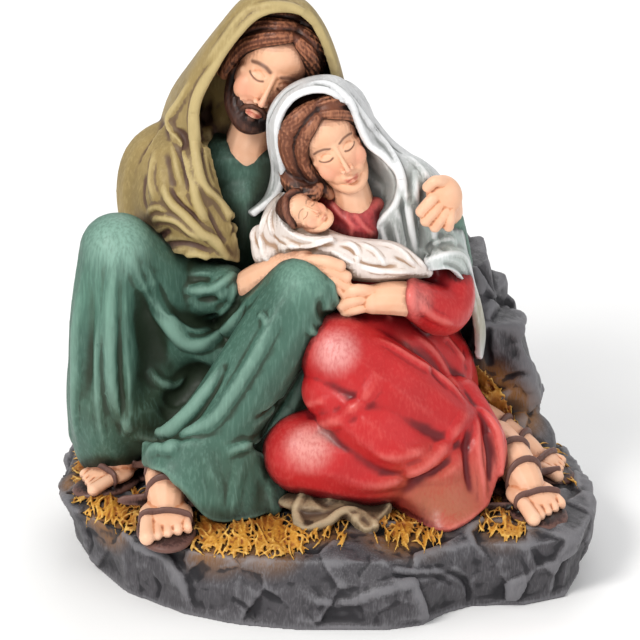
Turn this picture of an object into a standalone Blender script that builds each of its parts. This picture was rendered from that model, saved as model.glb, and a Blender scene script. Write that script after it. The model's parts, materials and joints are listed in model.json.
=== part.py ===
# A seated family group in one cast, hand-painted resin piece: a hooded man and a veiled woman lean
# together over a swaddled child, on a rocky ground with straw, a fold of cloth and a rock wall behind.
# Everything is one solid, as it comes out of its mould. Sizes are in metres, up is +Z, the front is -Y.
#
# The figures are built up like clay, from eggs, rolls and sheets, and the folds are then raised or pressed
# into their skins. Their places are read off a front drawing that looks down on the group, in drawing
# millimetres: across, up the drawing, and back. The drawing is scaled to the group's height.

import math

import bmesh
import bpy
import numpy as np
from mathutils import Euler, Matrix, Vector, noise
from mathutils.bvhtree import BVHTree
from mathutils.kdtree import KDTree

for thing in list(bpy.data.objects):
    bpy.data.objects.remove(thing)

# Driving sizes
BASE_WIDTH = 0.180
BASE_DEPTH = 0.132
BASE_THICKNESS = 0.026
GROUP_HEIGHT = 0.1695

# The drawing
TILT = math.radians(22)
SIN_T, COS_T = math.sin(TILT), math.cos(TILT)
DRAWN_GROUND = 26.0
DRAWN_GROUP_HEIGHT = 169.5
DRAWN_BASE_WIDTH = 180.0
DRAWN_BASE_DEPTH = 132.0
UNIT = GROUP_HEIGHT / DRAWN_GROUP_HEIGHT

# Clay
GRAIN = 1.0
LAST_GRAIN = 0.9
MOST_TRIANGLES = 9400
STRAW_RADIUS = 0.8
STRAW_SHARE = 0.45

lumps = []


def at(point, frame=None):
    """The place in the model of a drawing point, or of a point given in a frame."""
    if frame is not None:
        return frame @ Vector(point)
    x, h, y = point
    return Vector((x, y, (h - y * SIN_T) / COS_T - DRAWN_GROUND)) * UNIT + Vector((0, 0, BASE_THICKNESS))


def spot(x, y, z):
    """The drawing point of a place given as right, back and above the underside, in drawing millimetres."""
    return (x, z * COS_T + y * SIN_T, y)


def scale_of(frame):
    return UNIT if frame is None else frame.to_scale()[0]


def frame_at(centre, size, lean=0, heading=0, nod=0, shift=(0, 0, 0)):
    """A frame whose unit is size drawing millimetres, leant right, turned right and nodded by degrees."""
    return (
        Matrix.Translation(at(centre))
        @ Matrix.Rotation(math.radians(lean), 4, "Y")
        @ Matrix.Rotation(math.radians(heading), 4, "Z")
        @ Matrix.Rotation(math.radians(nod), 4, "X")
        @ Matrix.Scale(size * UNIT, 4)
        @ Matrix.Translation(shift)
    )


def smooth_path(points, steps):
    """Rows of numbers along a Catmull-Rom curve through the given rows."""
    p = np.array(points, float)
    if len(p) == 2:
        t = np.linspace(0, 1, steps + 1)[:, None]
        return p[0] * (1 - t) + p[1] * t
    p = np.vstack([2 * p[0] - p[1], p, 2 * p[-1] - p[-2]])
    rows = []
    for i in range(1, len(p) - 2):
        for t in np.linspace(0, 1, steps, endpoint=False):
            a, b, c, d = p[i - 1 : i + 3]
            bend = (2 * a - 5 * b + 4 * c - d) * t**2
            twist = (3 * b - a - 3 * c + d) * t**3
            rows.append(0.5 * (2 * b + (c - a) * t + bend + twist))
    rows.append(p[-2])
    return np.array(rows)


def ball(centre, radii, turn=(0, 0, 0), frame=None):
    """An egg of clay: radii across, back and up, turned by degrees about X, Y and Z."""
    radii = (radii,) * 3 if isinstance(radii, (int, float)) else radii
    bpy.ops.mesh.primitive_uv_sphere_add(segments=28, ring_count=18, radius=1)
    lump = bpy.context.object
    local = Matrix.LocRotScale(Vector(centre), Euler([math.radians(a) for a in turn]), Vector(radii))
    if frame is None:
        local = Matrix.LocRotScale(
            at(centre), Euler([math.radians(a) for a in turn]), Vector(radii) * UNIT,
        )
    lump.data.transform(local if frame is None else frame @ local)
    lumps.append(lump)
    return lump


def roll(path, radii, frame=None, steps=6):
    """A round roll of clay along a curve through the points, with a radius at each."""
    radii = [radii] * len(path) if isinstance(radii, (int, float)) else radii
    unit = scale_of(frame)
    rows = smooth_path([(*at(p, frame), r * unit) for p, r in zip(path, radii)], steps)
    curve = bpy.data.curves.new("roll", "CURVE")
    curve.dimensions = "3D"
    curve.bevel_depth = 1.0
    curve.bevel_resolution = 4
    curve.use_fill_caps = True
    spline = curve.splines.new("POLY")
    spline.points.add(len(rows) - 1)
    for point, row in zip(spline.points, rows):
        point.co = (*row[:3], 1)
        point.radius = max(row[3], 0.0001)
    lump = bpy.data.objects.new("roll", curve)
    bpy.context.collection.objects.link(lump)
    lumps.append(lump)
    for row in (rows[0], rows[-1]):
        bpy.ops.mesh.primitive_uv_sphere_add(
            segments=16, ring_count=10, radius=max(row[3], 0.0001), location=row[:3],
        )
        lumps.append(bpy.context.object)
    return lump


def cloth(rows, thick=1.6, steps=5, frame=None):
    """A sheet of clay through rows of points, each row with as many points."""
    grid = np.array([[tuple(at(p, frame)) for p in row] for row in rows])
    along = np.array([smooth_path(row, steps) for row in grid])
    full = np.array([smooth_path(along[:, j], steps) for j in range(along.shape[1])])
    full = full.transpose(1, 0, 2)
    nx, ny = full.shape[:2]
    mesh = bpy.data.meshes.new("cloth")
    corners = [i * ny + j for i in range(nx - 1) for j in range(ny - 1)]
    faces = [(c, c + ny, c + ny + 1, c + 1) for c in corners]
    mesh.from_pydata(full.reshape(-1, 3).tolist(), [], faces)
    lump = bpy.data.objects.new("cloth", mesh)
    bpy.context.collection.objects.link(lump)
    solid = lump.modifiers.new("thick", "SOLIDIFY")
    solid.thickness = thick * scale_of(frame)
    solid.offset = 0
    lumps.append(lump)
    return lump


def relax(piece, rounds, factor=0.5):
    if rounds:
        calm = piece.modifiers.new("calm", "SMOOTH")
        calm.factor = factor
        calm.iterations = rounds
        bpy.context.view_layer.objects.active = piece
        bpy.ops.object.modifier_apply(modifier="calm")


def fuse(name, rounds, grain=GRAIN):
    """The lumps laid down since the last fuse, as one skin with its seams smoothed by that many rounds."""
    bpy.ops.object.select_all(action="DESELECT")
    for lump in lumps:
        lump.select_set(True)
    bpy.context.view_layer.objects.active = lumps[0]
    bpy.ops.object.convert(target="MESH")
    bpy.ops.object.join()
    lumps.clear()
    piece = bpy.context.object
    bpy.ops.object.transform_apply(location=True, rotation=True, scale=True)
    skin = piece.modifiers.new("skin", "REMESH")
    skin.mode = "VOXEL"
    skin.voxel_size = grain * UNIT
    bpy.ops.object.modifier_apply(modifier="skin")
    relax(piece, rounds)
    piece.name = name
    piece.data.name = name
    return piece


def arrays(piece):
    mesh = piece.data
    co = np.empty(len(mesh.vertices) * 3, np.float32)
    mesh.vertices.foreach_get("co", co)
    no = np.empty(len(mesh.vertices) * 3, np.float32)
    mesh.vertex_normals.foreach_get("vector", no)
    return co.reshape(-1, 3).astype(float), no.reshape(-1, 3).astype(float)


def laid(tree, path, frame=None, steps=6):
    """A path on a skin: points of two numbers drop along the line of sight, of three to the nearest spot."""
    ahead = Vector((0, COS_T, -SIN_T)) if frame is None else (frame.to_3x3() @ Vector((0, 1, 0))).normalized(
        
    )
    found = []
    for row in smooth_path(path, steps):
        if len(row) == 3:
            hit = tree.find_nearest(at(row, frame))[0]
        elif frame is None:
            hit = tree.ray_cast(at((row[0], row[1], -200)), ahead)[0]
        else:
            hit = tree.ray_cast(frame @ Vector((row[0], -3, row[1])), ahead)[0]
        if hit is not None:
            found.append(tuple(hit))
    return np.array(found)


def push(piece, folds, rounds=1, taper=0.25, frame=None):
    """Raises ridges and presses grooves along the folds: each is a path, a half width and a height."""
    tree = BVHTree.FromObject(piece, bpy.context.evaluated_depsgraph_get())
    co, no = arrays(piece)
    move = np.zeros(len(co))
    unit = scale_of(frame)
    for path, width, height in folds:
        line = laid(tree, path, frame)
        if len(line) < 2:
            continue
        width, height = width * unit, height * unit
        low, high = line.min(0) - width, line.max(0) + width
        near = np.flatnonzero(((co > low) & (co < high)).all(1))
        best = np.full(len(near), 9.0)
        share = np.zeros(len(near))
        lengths = np.linalg.norm(np.diff(line, axis=0), axis=1)
        run = np.concatenate([[0], np.cumsum(lengths)])
        for i, (a, b) in enumerate(zip(line, line[1:])):
            ab = b - a
            t = np.clip(((co[near] - a) @ ab) / max(ab @ ab, 1e-12), 0, 1)
            d = np.linalg.norm(co[near] - a - t[:, None] * ab, axis=1)
            closer = d < best
            best[closer] = d[closer]
            share[closer] = ((run[i] + t * lengths[i]) / max(run[-1], 1e-9))[closer]
        fall = np.clip(1 - (best / width) ** 2, 0, 1) ** 2
        if taper:
            fall *= np.clip(np.minimum(share, 1 - share) / taper, 0, 1) ** 0.7
        move[near] += height * fall
    co += no * move[:, None]
    piece.data.vertices.foreach_set("co", co.astype(np.float32).ravel())
    piece.data.update()
    relax(piece, rounds)


def stone(centre, radii, seed, turn=0, chips=9):
    """A block of rock: a ball planed by six slanting faces and chipped at its edges."""
    rng = np.random.default_rng(seed)
    normals = np.vstack([np.eye(3), -np.eye(3), rng.normal(size=(chips, 3))])
    normals[:6] += rng.normal(0, 0.16, (6, 3))
    normals /= np.linalg.norm(normals, axis=1)[:, None]
    depth = np.concatenate([rng.uniform(0.88, 1.0, 6), rng.uniform(0.98, 1.2, chips)])
    bpy.ops.mesh.primitive_ico_sphere_add(subdivisions=5, radius=1)
    lump = bpy.context.object
    co, _ = arrays(lump)
    co /= np.linalg.norm(co, axis=1)[:, None]
    reach = np.min(depth / np.maximum(co @ normals.T, 0.05), axis=1)
    co *= reach[:, None]
    lump.data.vertices.foreach_set("co", co.astype(np.float32).ravel())
    place = Matrix.LocRotScale(at(spot(*centre)), Euler((0, 0, math.radians(turn))), Vector(radii) * UNIT)
    lump.data.transform(place)
    lumps.append(lump)
    return lump


def chip(piece, size, depth, seed, above=1.5, soft=0.5):
    """Flat chips struck off a skin: each patch of that size is tilted its own way."""
    co, no = arrays(piece)
    rng = np.random.default_rng(seed)
    low, high = co.min(0), co.max(0)
    count = int(np.prod((high - low) / (size * UNIT)))
    seeds = rng.uniform(low, high, (count, 3))
    tilt = rng.normal(size=(count, 3))
    tilt *= 1.5 * depth / size / np.linalg.norm(tilt, axis=1)[:, None]
    raised = rng.uniform(-0.25, 0.25, count) * depth * UNIT
    tree = KDTree(count)
    for i, place in enumerate(seeds):
        tree.insert(place, i)
    tree.balance()
    pairs = [tree.find_n(p, 2) for p in co]
    first, second = (np.array([pair[k][1] for pair in pairs]) for k in (0, 1))
    gap = np.array([pair[1][2] - pair[0][2] for pair in pairs]) / (2 * soft * UNIT)
    share = np.clip(0.5 + gap, 0.5, 1)
    lifts = [((co - seeds[i]) * tilt[i]).sum(1) + raised[i] for i in (first, second)]
    lift = share * lifts[0] + (1 - share) * lifts[1]
    lift *= np.clip((co[:, 2] - above * UNIT) / (2 * UNIT), 0, 1)
    co += no * lift[:, None]
    piece.data.vertices.foreach_set("co", co.astype(np.float32).ravel())
    piece.data.update()


def roughen(piece, height, size, seed=0.0, above=None):
    """Uneven skin: swells of that height and size."""
    co, no = arrays(piece)
    start = Vector((seed, seed, seed))
    lift = np.array([noise.noise(Vector(p) / (size * UNIT) + start) for p in co])
    if above is not None:
        lift *= np.clip((co[:, 2] - above * UNIT) / (3 * UNIT), 0, 1)
    co += no * (lift * height * UNIT)[:, None]
    piece.data.vertices.foreach_set("co", co.astype(np.float32).ravel())
    piece.data.update()


def strands(paths, steps=4):
    """Fine tapering blades as one lump: each path is rows of three numbers in the model and a radius."""
    curve = bpy.data.curves.new("strands", "CURVE")
    curve.dimensions = "3D"
    curve.bevel_depth = 1.0
    curve.bevel_resolution = 1
    curve.use_fill_caps = True
    for path in paths:
        rows = smooth_path(path, steps)
        spline = curve.splines.new("POLY")
        spline.points.add(len(rows) - 1)
        for point, row in zip(spline.points, rows):
            point.co = (*row[:3], 1)
            point.radius = max(row[3], 0.00005)
    lump = bpy.data.objects.new("strands", curve)
    bpy.context.collection.objects.link(lump)
    lumps.append(lump)
    return lump


SLAB = [
    (-84, 2, 1.07, 0.97), (-80, -17, 1.06, 0.95), (-66, -37, 1.01, 0.99), (-46, -54, 0.97, 1.00),
    (-28, -62, 0.96, 1.01), (-8, -65, 0.95, 1.03), (20, -66, 0.94, 1.02),
    (33, -63, 0.93, 1.0), (41, -55, 0.95, 0.98), (51, -49, 0.97, 0.97), (68, -48, 1.0, 0.98),
    (82, -41, 1.03, 0.98), (89, -22, 1.01, 0.96), (88, 0, 1.02, 0.97),
    (86, 24, 1.0, 0.97), (78, 44, 0.98, 0.98), (56, 58, 0.97, 1.0), (26, 64, 0.96, 1.0),
    (-10, 64, 0.96, 1.0), (-42, 60, 0.97, 0.98), (-66, 47, 1.0, 0.97), (-82, 25, 1.05, 0.96),
]


def slab():
    """The ground under the group: a faceted rim round an outline, with rows of points at four levels."""
    wide = BASE_WIDTH / DRAWN_BASE_WIDTH
    deep = BASE_DEPTH / DRAWN_BASE_DEPTH
    high = BASE_THICKNESS / DRAWN_GROUND
    bm = bmesh.new()
    rings = []
    for level, inset in ((-3, None), (12.5, None), (22.5, None), (26, 9)):
        ring = []
        for x, y, rim, foot in SLAB:
            share = {-3: foot, 12.5: 1.0}.get(level, rim)
            r = math.hypot(x, y)
            if inset:
                share = (r * rim - inset) / r
            ring.append(bm.verts.new((x * share * wide, y * share * deep, level * high)))
        rings.append(ring)
    count = len(SLAB)
    for low, high in zip(rings, rings[1:]):
        for k in range(count):
            j = (k + 1) % count
            bm.faces.new((low[k], low[j], high[j]))
            bm.faces.new((low[k], high[j], high[k]))
    bm.faces.new(list(reversed(rings[0])))
    bm.faces.new(rings[-1])
    mesh = bpy.data.meshes.new("slab")
    bm.to_mesh(mesh)
    lump = bpy.data.objects.new("slab", mesh)
    bpy.context.collection.objects.link(lump)
    lumps.append(lump)


STONES = [
    ((46, 44, 82), (11, 14, 9.5), 3, 8), ((49, 42, 71), (11, 14, 8), 5, -6),
    ((57, 38, 58), (13, 15, 15), 8, 10), ((60, 38, 36), (12, 15, 11), 12, -8),
    ((24, 52, 62), (22, 12, 34), 24, 0), ((-4, 56, 50), (26, 10, 34), 28, 8),
    ((-36, 56, 38), (24, 11, 22), 33, -6), ((-62, 40, 26), (18, 16, 11), 37, 20),
    ((4, 34, 24), (66, 30, 10), 45, 0),
]


def rock_base():
    slab()
    for centre, radii, seed, turn in STONES:
        stone(centre, radii, seed, turn)
    ball(spot(66, 24, 27), (14, 18, 12), (0, 8, 0))
    ball(spot(-76, 16, 24), (11, 13, 9), (0, -8, 0))
    piece = fuse("rock", 1)
    chip(piece, 20, 1.5, 5)
    chip(piece, 9, 0.3, 8)
    push(piece, [
        ([(36.5, -3.5), (42.5, -6), (47, -9), (48.5, -13.5), (47.5, -19.5), (48.5, -24)], 1.8, -1.5),
        ([(19, -1.5), (23, -5), (32.5, -6), (42.5, -5), (47.5, -8.5)], 1.7, 1.1),
        ([(20.5, -3.5), (25.5, -7), (36.5, -7), (43, -10)], 1.4, -0.9),
        ([(-7.5, -13.5), (5.5, -16), (23, -11), (39, -7)], 2.4, 1.0),
        ([(-30.5, -14), (-25, -18), (-21.5, -23)], 1.4, -0.8),
        ([(-57.5, -7), (-54.5, -11), (-55.5, -16)], 1.4, -0.8),
        ([(-81, 10), (-77.5, 3), (-78.5, -2)], 1.4, -0.8),
        ([(65.5, -1), (68, -8.5), (66, -15.5)], 1.4, -0.8),
        ([(56.5, 75.5), (55, 69), (56.5, 61)], 2.2, -1.8),
        ([(54.5, 86.5), (59, 84), (65.5, 82)], 1.8, -1.4),
        ([(59.5, 56), (65.5, 58.5), (71.5, 58)], 1.8, -1.2),
    ], rounds=1)
    roughen(piece, 0.9, 11, 3.0, above=1.5)
    roughen(piece, 0.3, 3.0, 9.0, above=1.5)
    return piece


STRAW = [
    ([(-73.5, 34.5), (-77, 17), (-83.5, 33), (-82.5, 14.5)], 90),
    ([(-77, 19), (-60.5, 12.5), (-80.5, 10.5), (-63.5, 6)], 90),
    ([(-63, 22), (-57.5, 18), (-63, 10.5), (-59, 8)], 24),
    ([(-45.5, 12), (-24.5, 10.5), (-43.5, 1), (-24.5, -1)], 130),
    ([(-25.5, 11), (-9, 10), (-21.5, -1), (-5.5, 0.5)], 120),
    ([(16.5, 16), (37, 17), (17.5, 3), (39.5, 2.5)], 150),
    ([(-8.5, 10), (7.5, 10), (-7.5, 2), (7.5, 2)], 30),
    ([(53.5, 21), (66.5, 18), (50.5, 6), (67.5, 4)], 100),
    ([(50.5, 60), (59, 53), (54.5, 49), (67, 38)], 130),
    ([(74, 34), (79, 24.5), (79.5, 33), (84, 22)], 24),
]


def straw(thick=STRAW_RADIUS, share=STRAW_SHARE):
    """Tufts of straw on the rock: bent blades strewn over each patch, most of them along it."""
    rng = np.random.default_rng(7)
    tree = BVHTree.FromObject(bpy.data.objects["rock"], bpy.context.evaluated_depsgraph_get())
    blades = []
    for corners, count in STRAW:
        a, b, c, d = np.array(corners, float)
        for _ in range(int(count * share)):
            s, t = rng.uniform(0, 1, 2)
            middle = (a + (b - a) * s) * (1 - t) + (c + (d - c) * s) * t
            along = (c - a) * (1 - s) + (d - b) * s
            turn = math.atan2(along[1], along[0]) + rng.normal(0, 0.6)
            along = np.array((math.cos(turn), math.sin(turn)))
            bend = np.array((-along[1], along[0])) * rng.normal(0, 0.9)
            half = rng.uniform(1.8, 4.4)
            layer = rng.uniform(0.0, 1.2)
            rows = []
            for k, lift, r in ((-1, 0.0, 0.8), (0, 1.0, 1.1), (1, 0.2, 0.3)):
                x, h = middle + along * half * k + bend * lift
                hit = tree.ray_cast(at((x, h, -200)), Vector((0, COS_T, -SIN_T)))[0]
                if hit is not None:
                    rows.append((*(hit + Vector((0, 0, (layer + lift * 0.6) * UNIT))), thick * r * UNIT))
            if len(rows) == 3:
                blades.append(rows)
    strands(blades)
    return fuse("straw", 0)


def father_tunic():
    ball(spot(-32, 36, 58), (30, 24, 22))
    roll([spot(-32, 36, 60), spot(-30, 33, 95), spot(-26, 27, 122), (-26, 134, 26)], [24, 21, 20, 9])
    roll([(-52.5, 126.5, 26), (-26, 129, 25), (0.5, 127, 28)], [10, 13, 11])
    # right leg
    roll([spot(-46, 36, 62), (-54.5, 87, 12), (-67.5, 100.5, -4)], [20, 17, 12.5])
    roll([(-68.5, 100.5, -4), (-71.5, 77, -4), (-71.5, 50.5, 0), (-70.5, 37, 6)], [12.5, 13, 14, 14])
    roll([(-75.5, 84, 6), (-78.5, 57, 14), (-77.5, 40, 22)], [7, 8, 9])
    # left leg
    roll([spot(-18, 34, 60), (-17.5, 77, 8), (-6.5, 87, -16)], [20, 18, 12.5])
    roll([(-6.5, 86.5, -16), (-20.5, 64, -20), (-32.5, 45.5, -22), (-42.5, 33, -22)], [12.5, 13, 13, 13])
    roll([(-0.5, 77, -8), (-8.5, 54, -8), (-20.5, 30.5, -14), (-22.5, 19, -22)], [9, 12, 13, 9])
    # lap cloth: knee to knee, then down between the shins
    cloth(
        [
            [(-65, 104.5, -2), (-50.5, 84, 8), (-27.5, 74, 14), (-12.5, 89, -4)],
            [(-67, 100, -14), (-54.5, 77, -6), (-28.5, 66.5, -6), (-9, 87, -22)],
            [(-67.5, 74, -16), (-52.5, 62, 0), (-34.5, 57, -2), (-17.5, 67, -24)],
            [(-66, 47, -14), (-52.5, 42, -6), (-40, 48, -12), (-31, 50.5, -26)],
            [(-70.5, 32, -2), (-59.5, 32, -4), (-48.5, 37, -14), (-44.5, 35.5, -26)],
        ],
        thick=5,
    )
    # hem of the left leg round the foot
    cloth(
        [
            [
                (-59, 37, -18), (-55, 36.5, -28), (-48.5, 37, -33), (-39.5, 38, -34), (-27.5, 37, -32),
                (-17.5, 30.5, -24),
            ],
            [
                (-59, 32, -22), (-54.5, 29, -34), (-48.5, 26.5, -38), (-39.5, 22.5, -39),
                (-26, 20.5, -34), (-16, 22, -24),
            ],
            [
                (-58.5, 28.5, -24), (-53, 26.5, -37), (-46.5, 21, -41), (-37.5, 11, -40),
                (-24.5, 11, -38), (-15.5, 15, -28),
            ],
        ],
        thick=3.4,
    )
    roll([(-59, 30, -24), (-56, 34, -30), (-51, 35, -34), (-45.5, 30, -36)], [1.6, 2.4, 2.4, 1.6])
    roll([(-20.5, 30, -18), (-17, 24, -24), (-17, 15.5, -30)], [7, 6, 4])
    # cloth flap at the left knee
    cloth(
        [
            [(-4.5, 93, -18), (1, 91, -16), (3.5, 84.5, -15), (7.5, 78, -14)],
            [(-6, 84, -24), (-3, 80, -22), (-2.5, 74.5, -20), (2.5, 73, -16)],
        ],
        thick=2.5,
    )
    # right sleeve
    roll([(-52.5, 117, 26), (-52.5, 96.5, 16), (-47.5, 89, 10), (-32.5, 88, 0)], [11, 11, 11, 8])
    # the other sleeve, past the hand on the shawl
    roll([(44.5, 96, 22), (44.5, 103, 14), (43.5, 110.5, 4)], [6, 4.5, 3.5])
    piece = fuse("father_tunic", 9)
    push(piece, [
        ([(-58.5, 89), (-57.5, 67), (-58.5, 47)], 9, -3.6),
        ([(-39.5, 63), (-46, 52), (-53.5, 44)], 8, -3.4),
        ([(-41, 85), (-33.5, 81), (-27.5, 84)], 6, -2.0),
        ([(-77, 90.5), (-78, 69), (-79, 49)], 4.5, -2.6),
        ([(-31, 64.5), (-38.5, 51.5), (-45.5, 42), (-54.5, 35.5)], 3.5, -2.4),
        ([(-1, 85), (0, 79), (3, 78)], 3, -2.2),
        ([(-13, 51), (-18.5, 46), (-23, 44)], 2.6, -1.8),
        ([(-45, 90), (-41, 91), (-37, 90.5)], 2.2, -1.5),
        ([(-43, 84), (-39, 83), (-35.5, 83.5)], 2.4, -1.6),
    ], rounds=3)
    push(piece, [
        (
            [
                (-65.5, 102), (-60.5, 90), (-55.5, 82), (-49.5, 73), (-44, 69), (-37.5, 70), (-30, 75.5),
                (-23.5, 83.5), (-18.5, 90),
            ],
            3.4, 2.8,
        ),
        ([(-59.5, 96.5), (-54.5, 85), (-49.5, 77), (-43.5, 73), (-37, 74)], 2.2, 1.6),
        ([(-68.5, 100), (-70, 84.5), (-70.5, 63), (-69, 50), (-64, 39)], 3.6, 2.6),
        ([(-64, 39), (-54.5, 38.5), (-44.5, 46.5), (-39, 53), (-32.5, 61.5)], 3.4, 2.8),
        ([(-12, 87), (-20.5, 69), (-30, 53), (-37.5, 43.5), (-48, 38), (-54.5, 33)], 3.8, 2.0),
        ([(-81.5, 87), (-82.5, 70.5), (-83, 50.5), (-83, 38)], 3.0, 1.4),
        ([(-73.5, 80.5), (-75, 64), (-74.5, 44), (-72.5, 32)], 2.2, 1.0),
        ([(-58.5, 61), (-54.5, 56.5), (-49.5, 55.5), (-45.5, 60)], 2.4, 1.5),
        ([(-55, 50.5), (-50.5, 46.5), (-46.5, 48)], 2.2, 0.9),
        ([(-21.5, 79), (-19.5, 78), (-18.5, 75)], 1.8, 1.0),
        ([(2, 95), (4, 84.5), (7.5, 78)], 2.0, 1.0),
        ([(7.5, 78), (1.5, 73.5), (-3, 73), (-5.5, 76)], 2.0, 1.4),
        ([(-1.5, 69), (-7.5, 55.5), (-14.5, 42), (-20.5, 32)], 4.0, 1.4),
        ([(-33.5, 33), (-25.5, 36), (-19, 40.5), (-11.5, 48.5)], 2.8, 1.7),
        ([(-46.5, 87), (-41, 87), (-35.5, 88), (-29, 93)], 2.0, 1.5),
        ([(-41.5, 77.5), (-35.5, 79), (-31, 83), (-28.5, 90)], 2.0, 1.5),
        ([(-26.5, 32), (-29, 22), (-30.5, 12)], 3.4, 0.9),
        ([(-21.5, 30), (-18.5, 20.5), (-18.5, 13)], 3.4, 0.9),
        ([(-41, 37), (-36, 24), (-34.5, 12)], 3.4, 0.8),
    ], rounds=2)
    return piece


HOOD_RIM = [
    (-28.5, 106.5, 2), (-36.5, 118.5, 4), (-41.5, 130.5, 6), (-42, 146.5, 6), (-36.5, 159, 5),
    (-29, 170, 4), (-21.5, 177, 4), (-13, 179, 4), (-5, 177, 5), (-0.5, 170.5, 6), (2.5, 162.5, 8),
    (5, 153, 10),
]


# The mantle down the back: heights with places across and back along each
BACK_FALL = [
    (172, [(-28, 40), (-25, 46), (-21, 50), (-18, 51), (-15, 50), (-11, 46), (-8, 40)]),
    (150, [(-40, 44), (-34, 53), (-27, 58), (-19, 60), (-11, 58), (-4, 52), (2, 44)]),
    (128, [(-50, 42), (-42, 54), (-31, 60), (-21, 62), (-11, 60), (-1, 54), (8, 44)]),
    (104, [(-56, 42), (-46, 57), (-34, 64), (-22, 66), (-10, 64), (2, 56), (12, 46)]),
    (80, [(-58, 44), (-48, 58), (-36, 65), (-24, 67), (-12, 65), (0, 58), (11, 49)]),
    (56, [(-56, 44), (-47, 54), (-36, 59), (-24, 61), (-13, 59), (-2, 54), (8, 48)]),
    (36, [(-52, 40), (-45, 49), (-35, 53), (-24, 54), (-14, 53), (-4, 49), (6, 44)]),
]


def rear():
    """A frame behind the group that looks at it from the back: its places are left to right and up."""
    return frame_at(spot(0, 100, 0), 1, heading=180)


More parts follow.
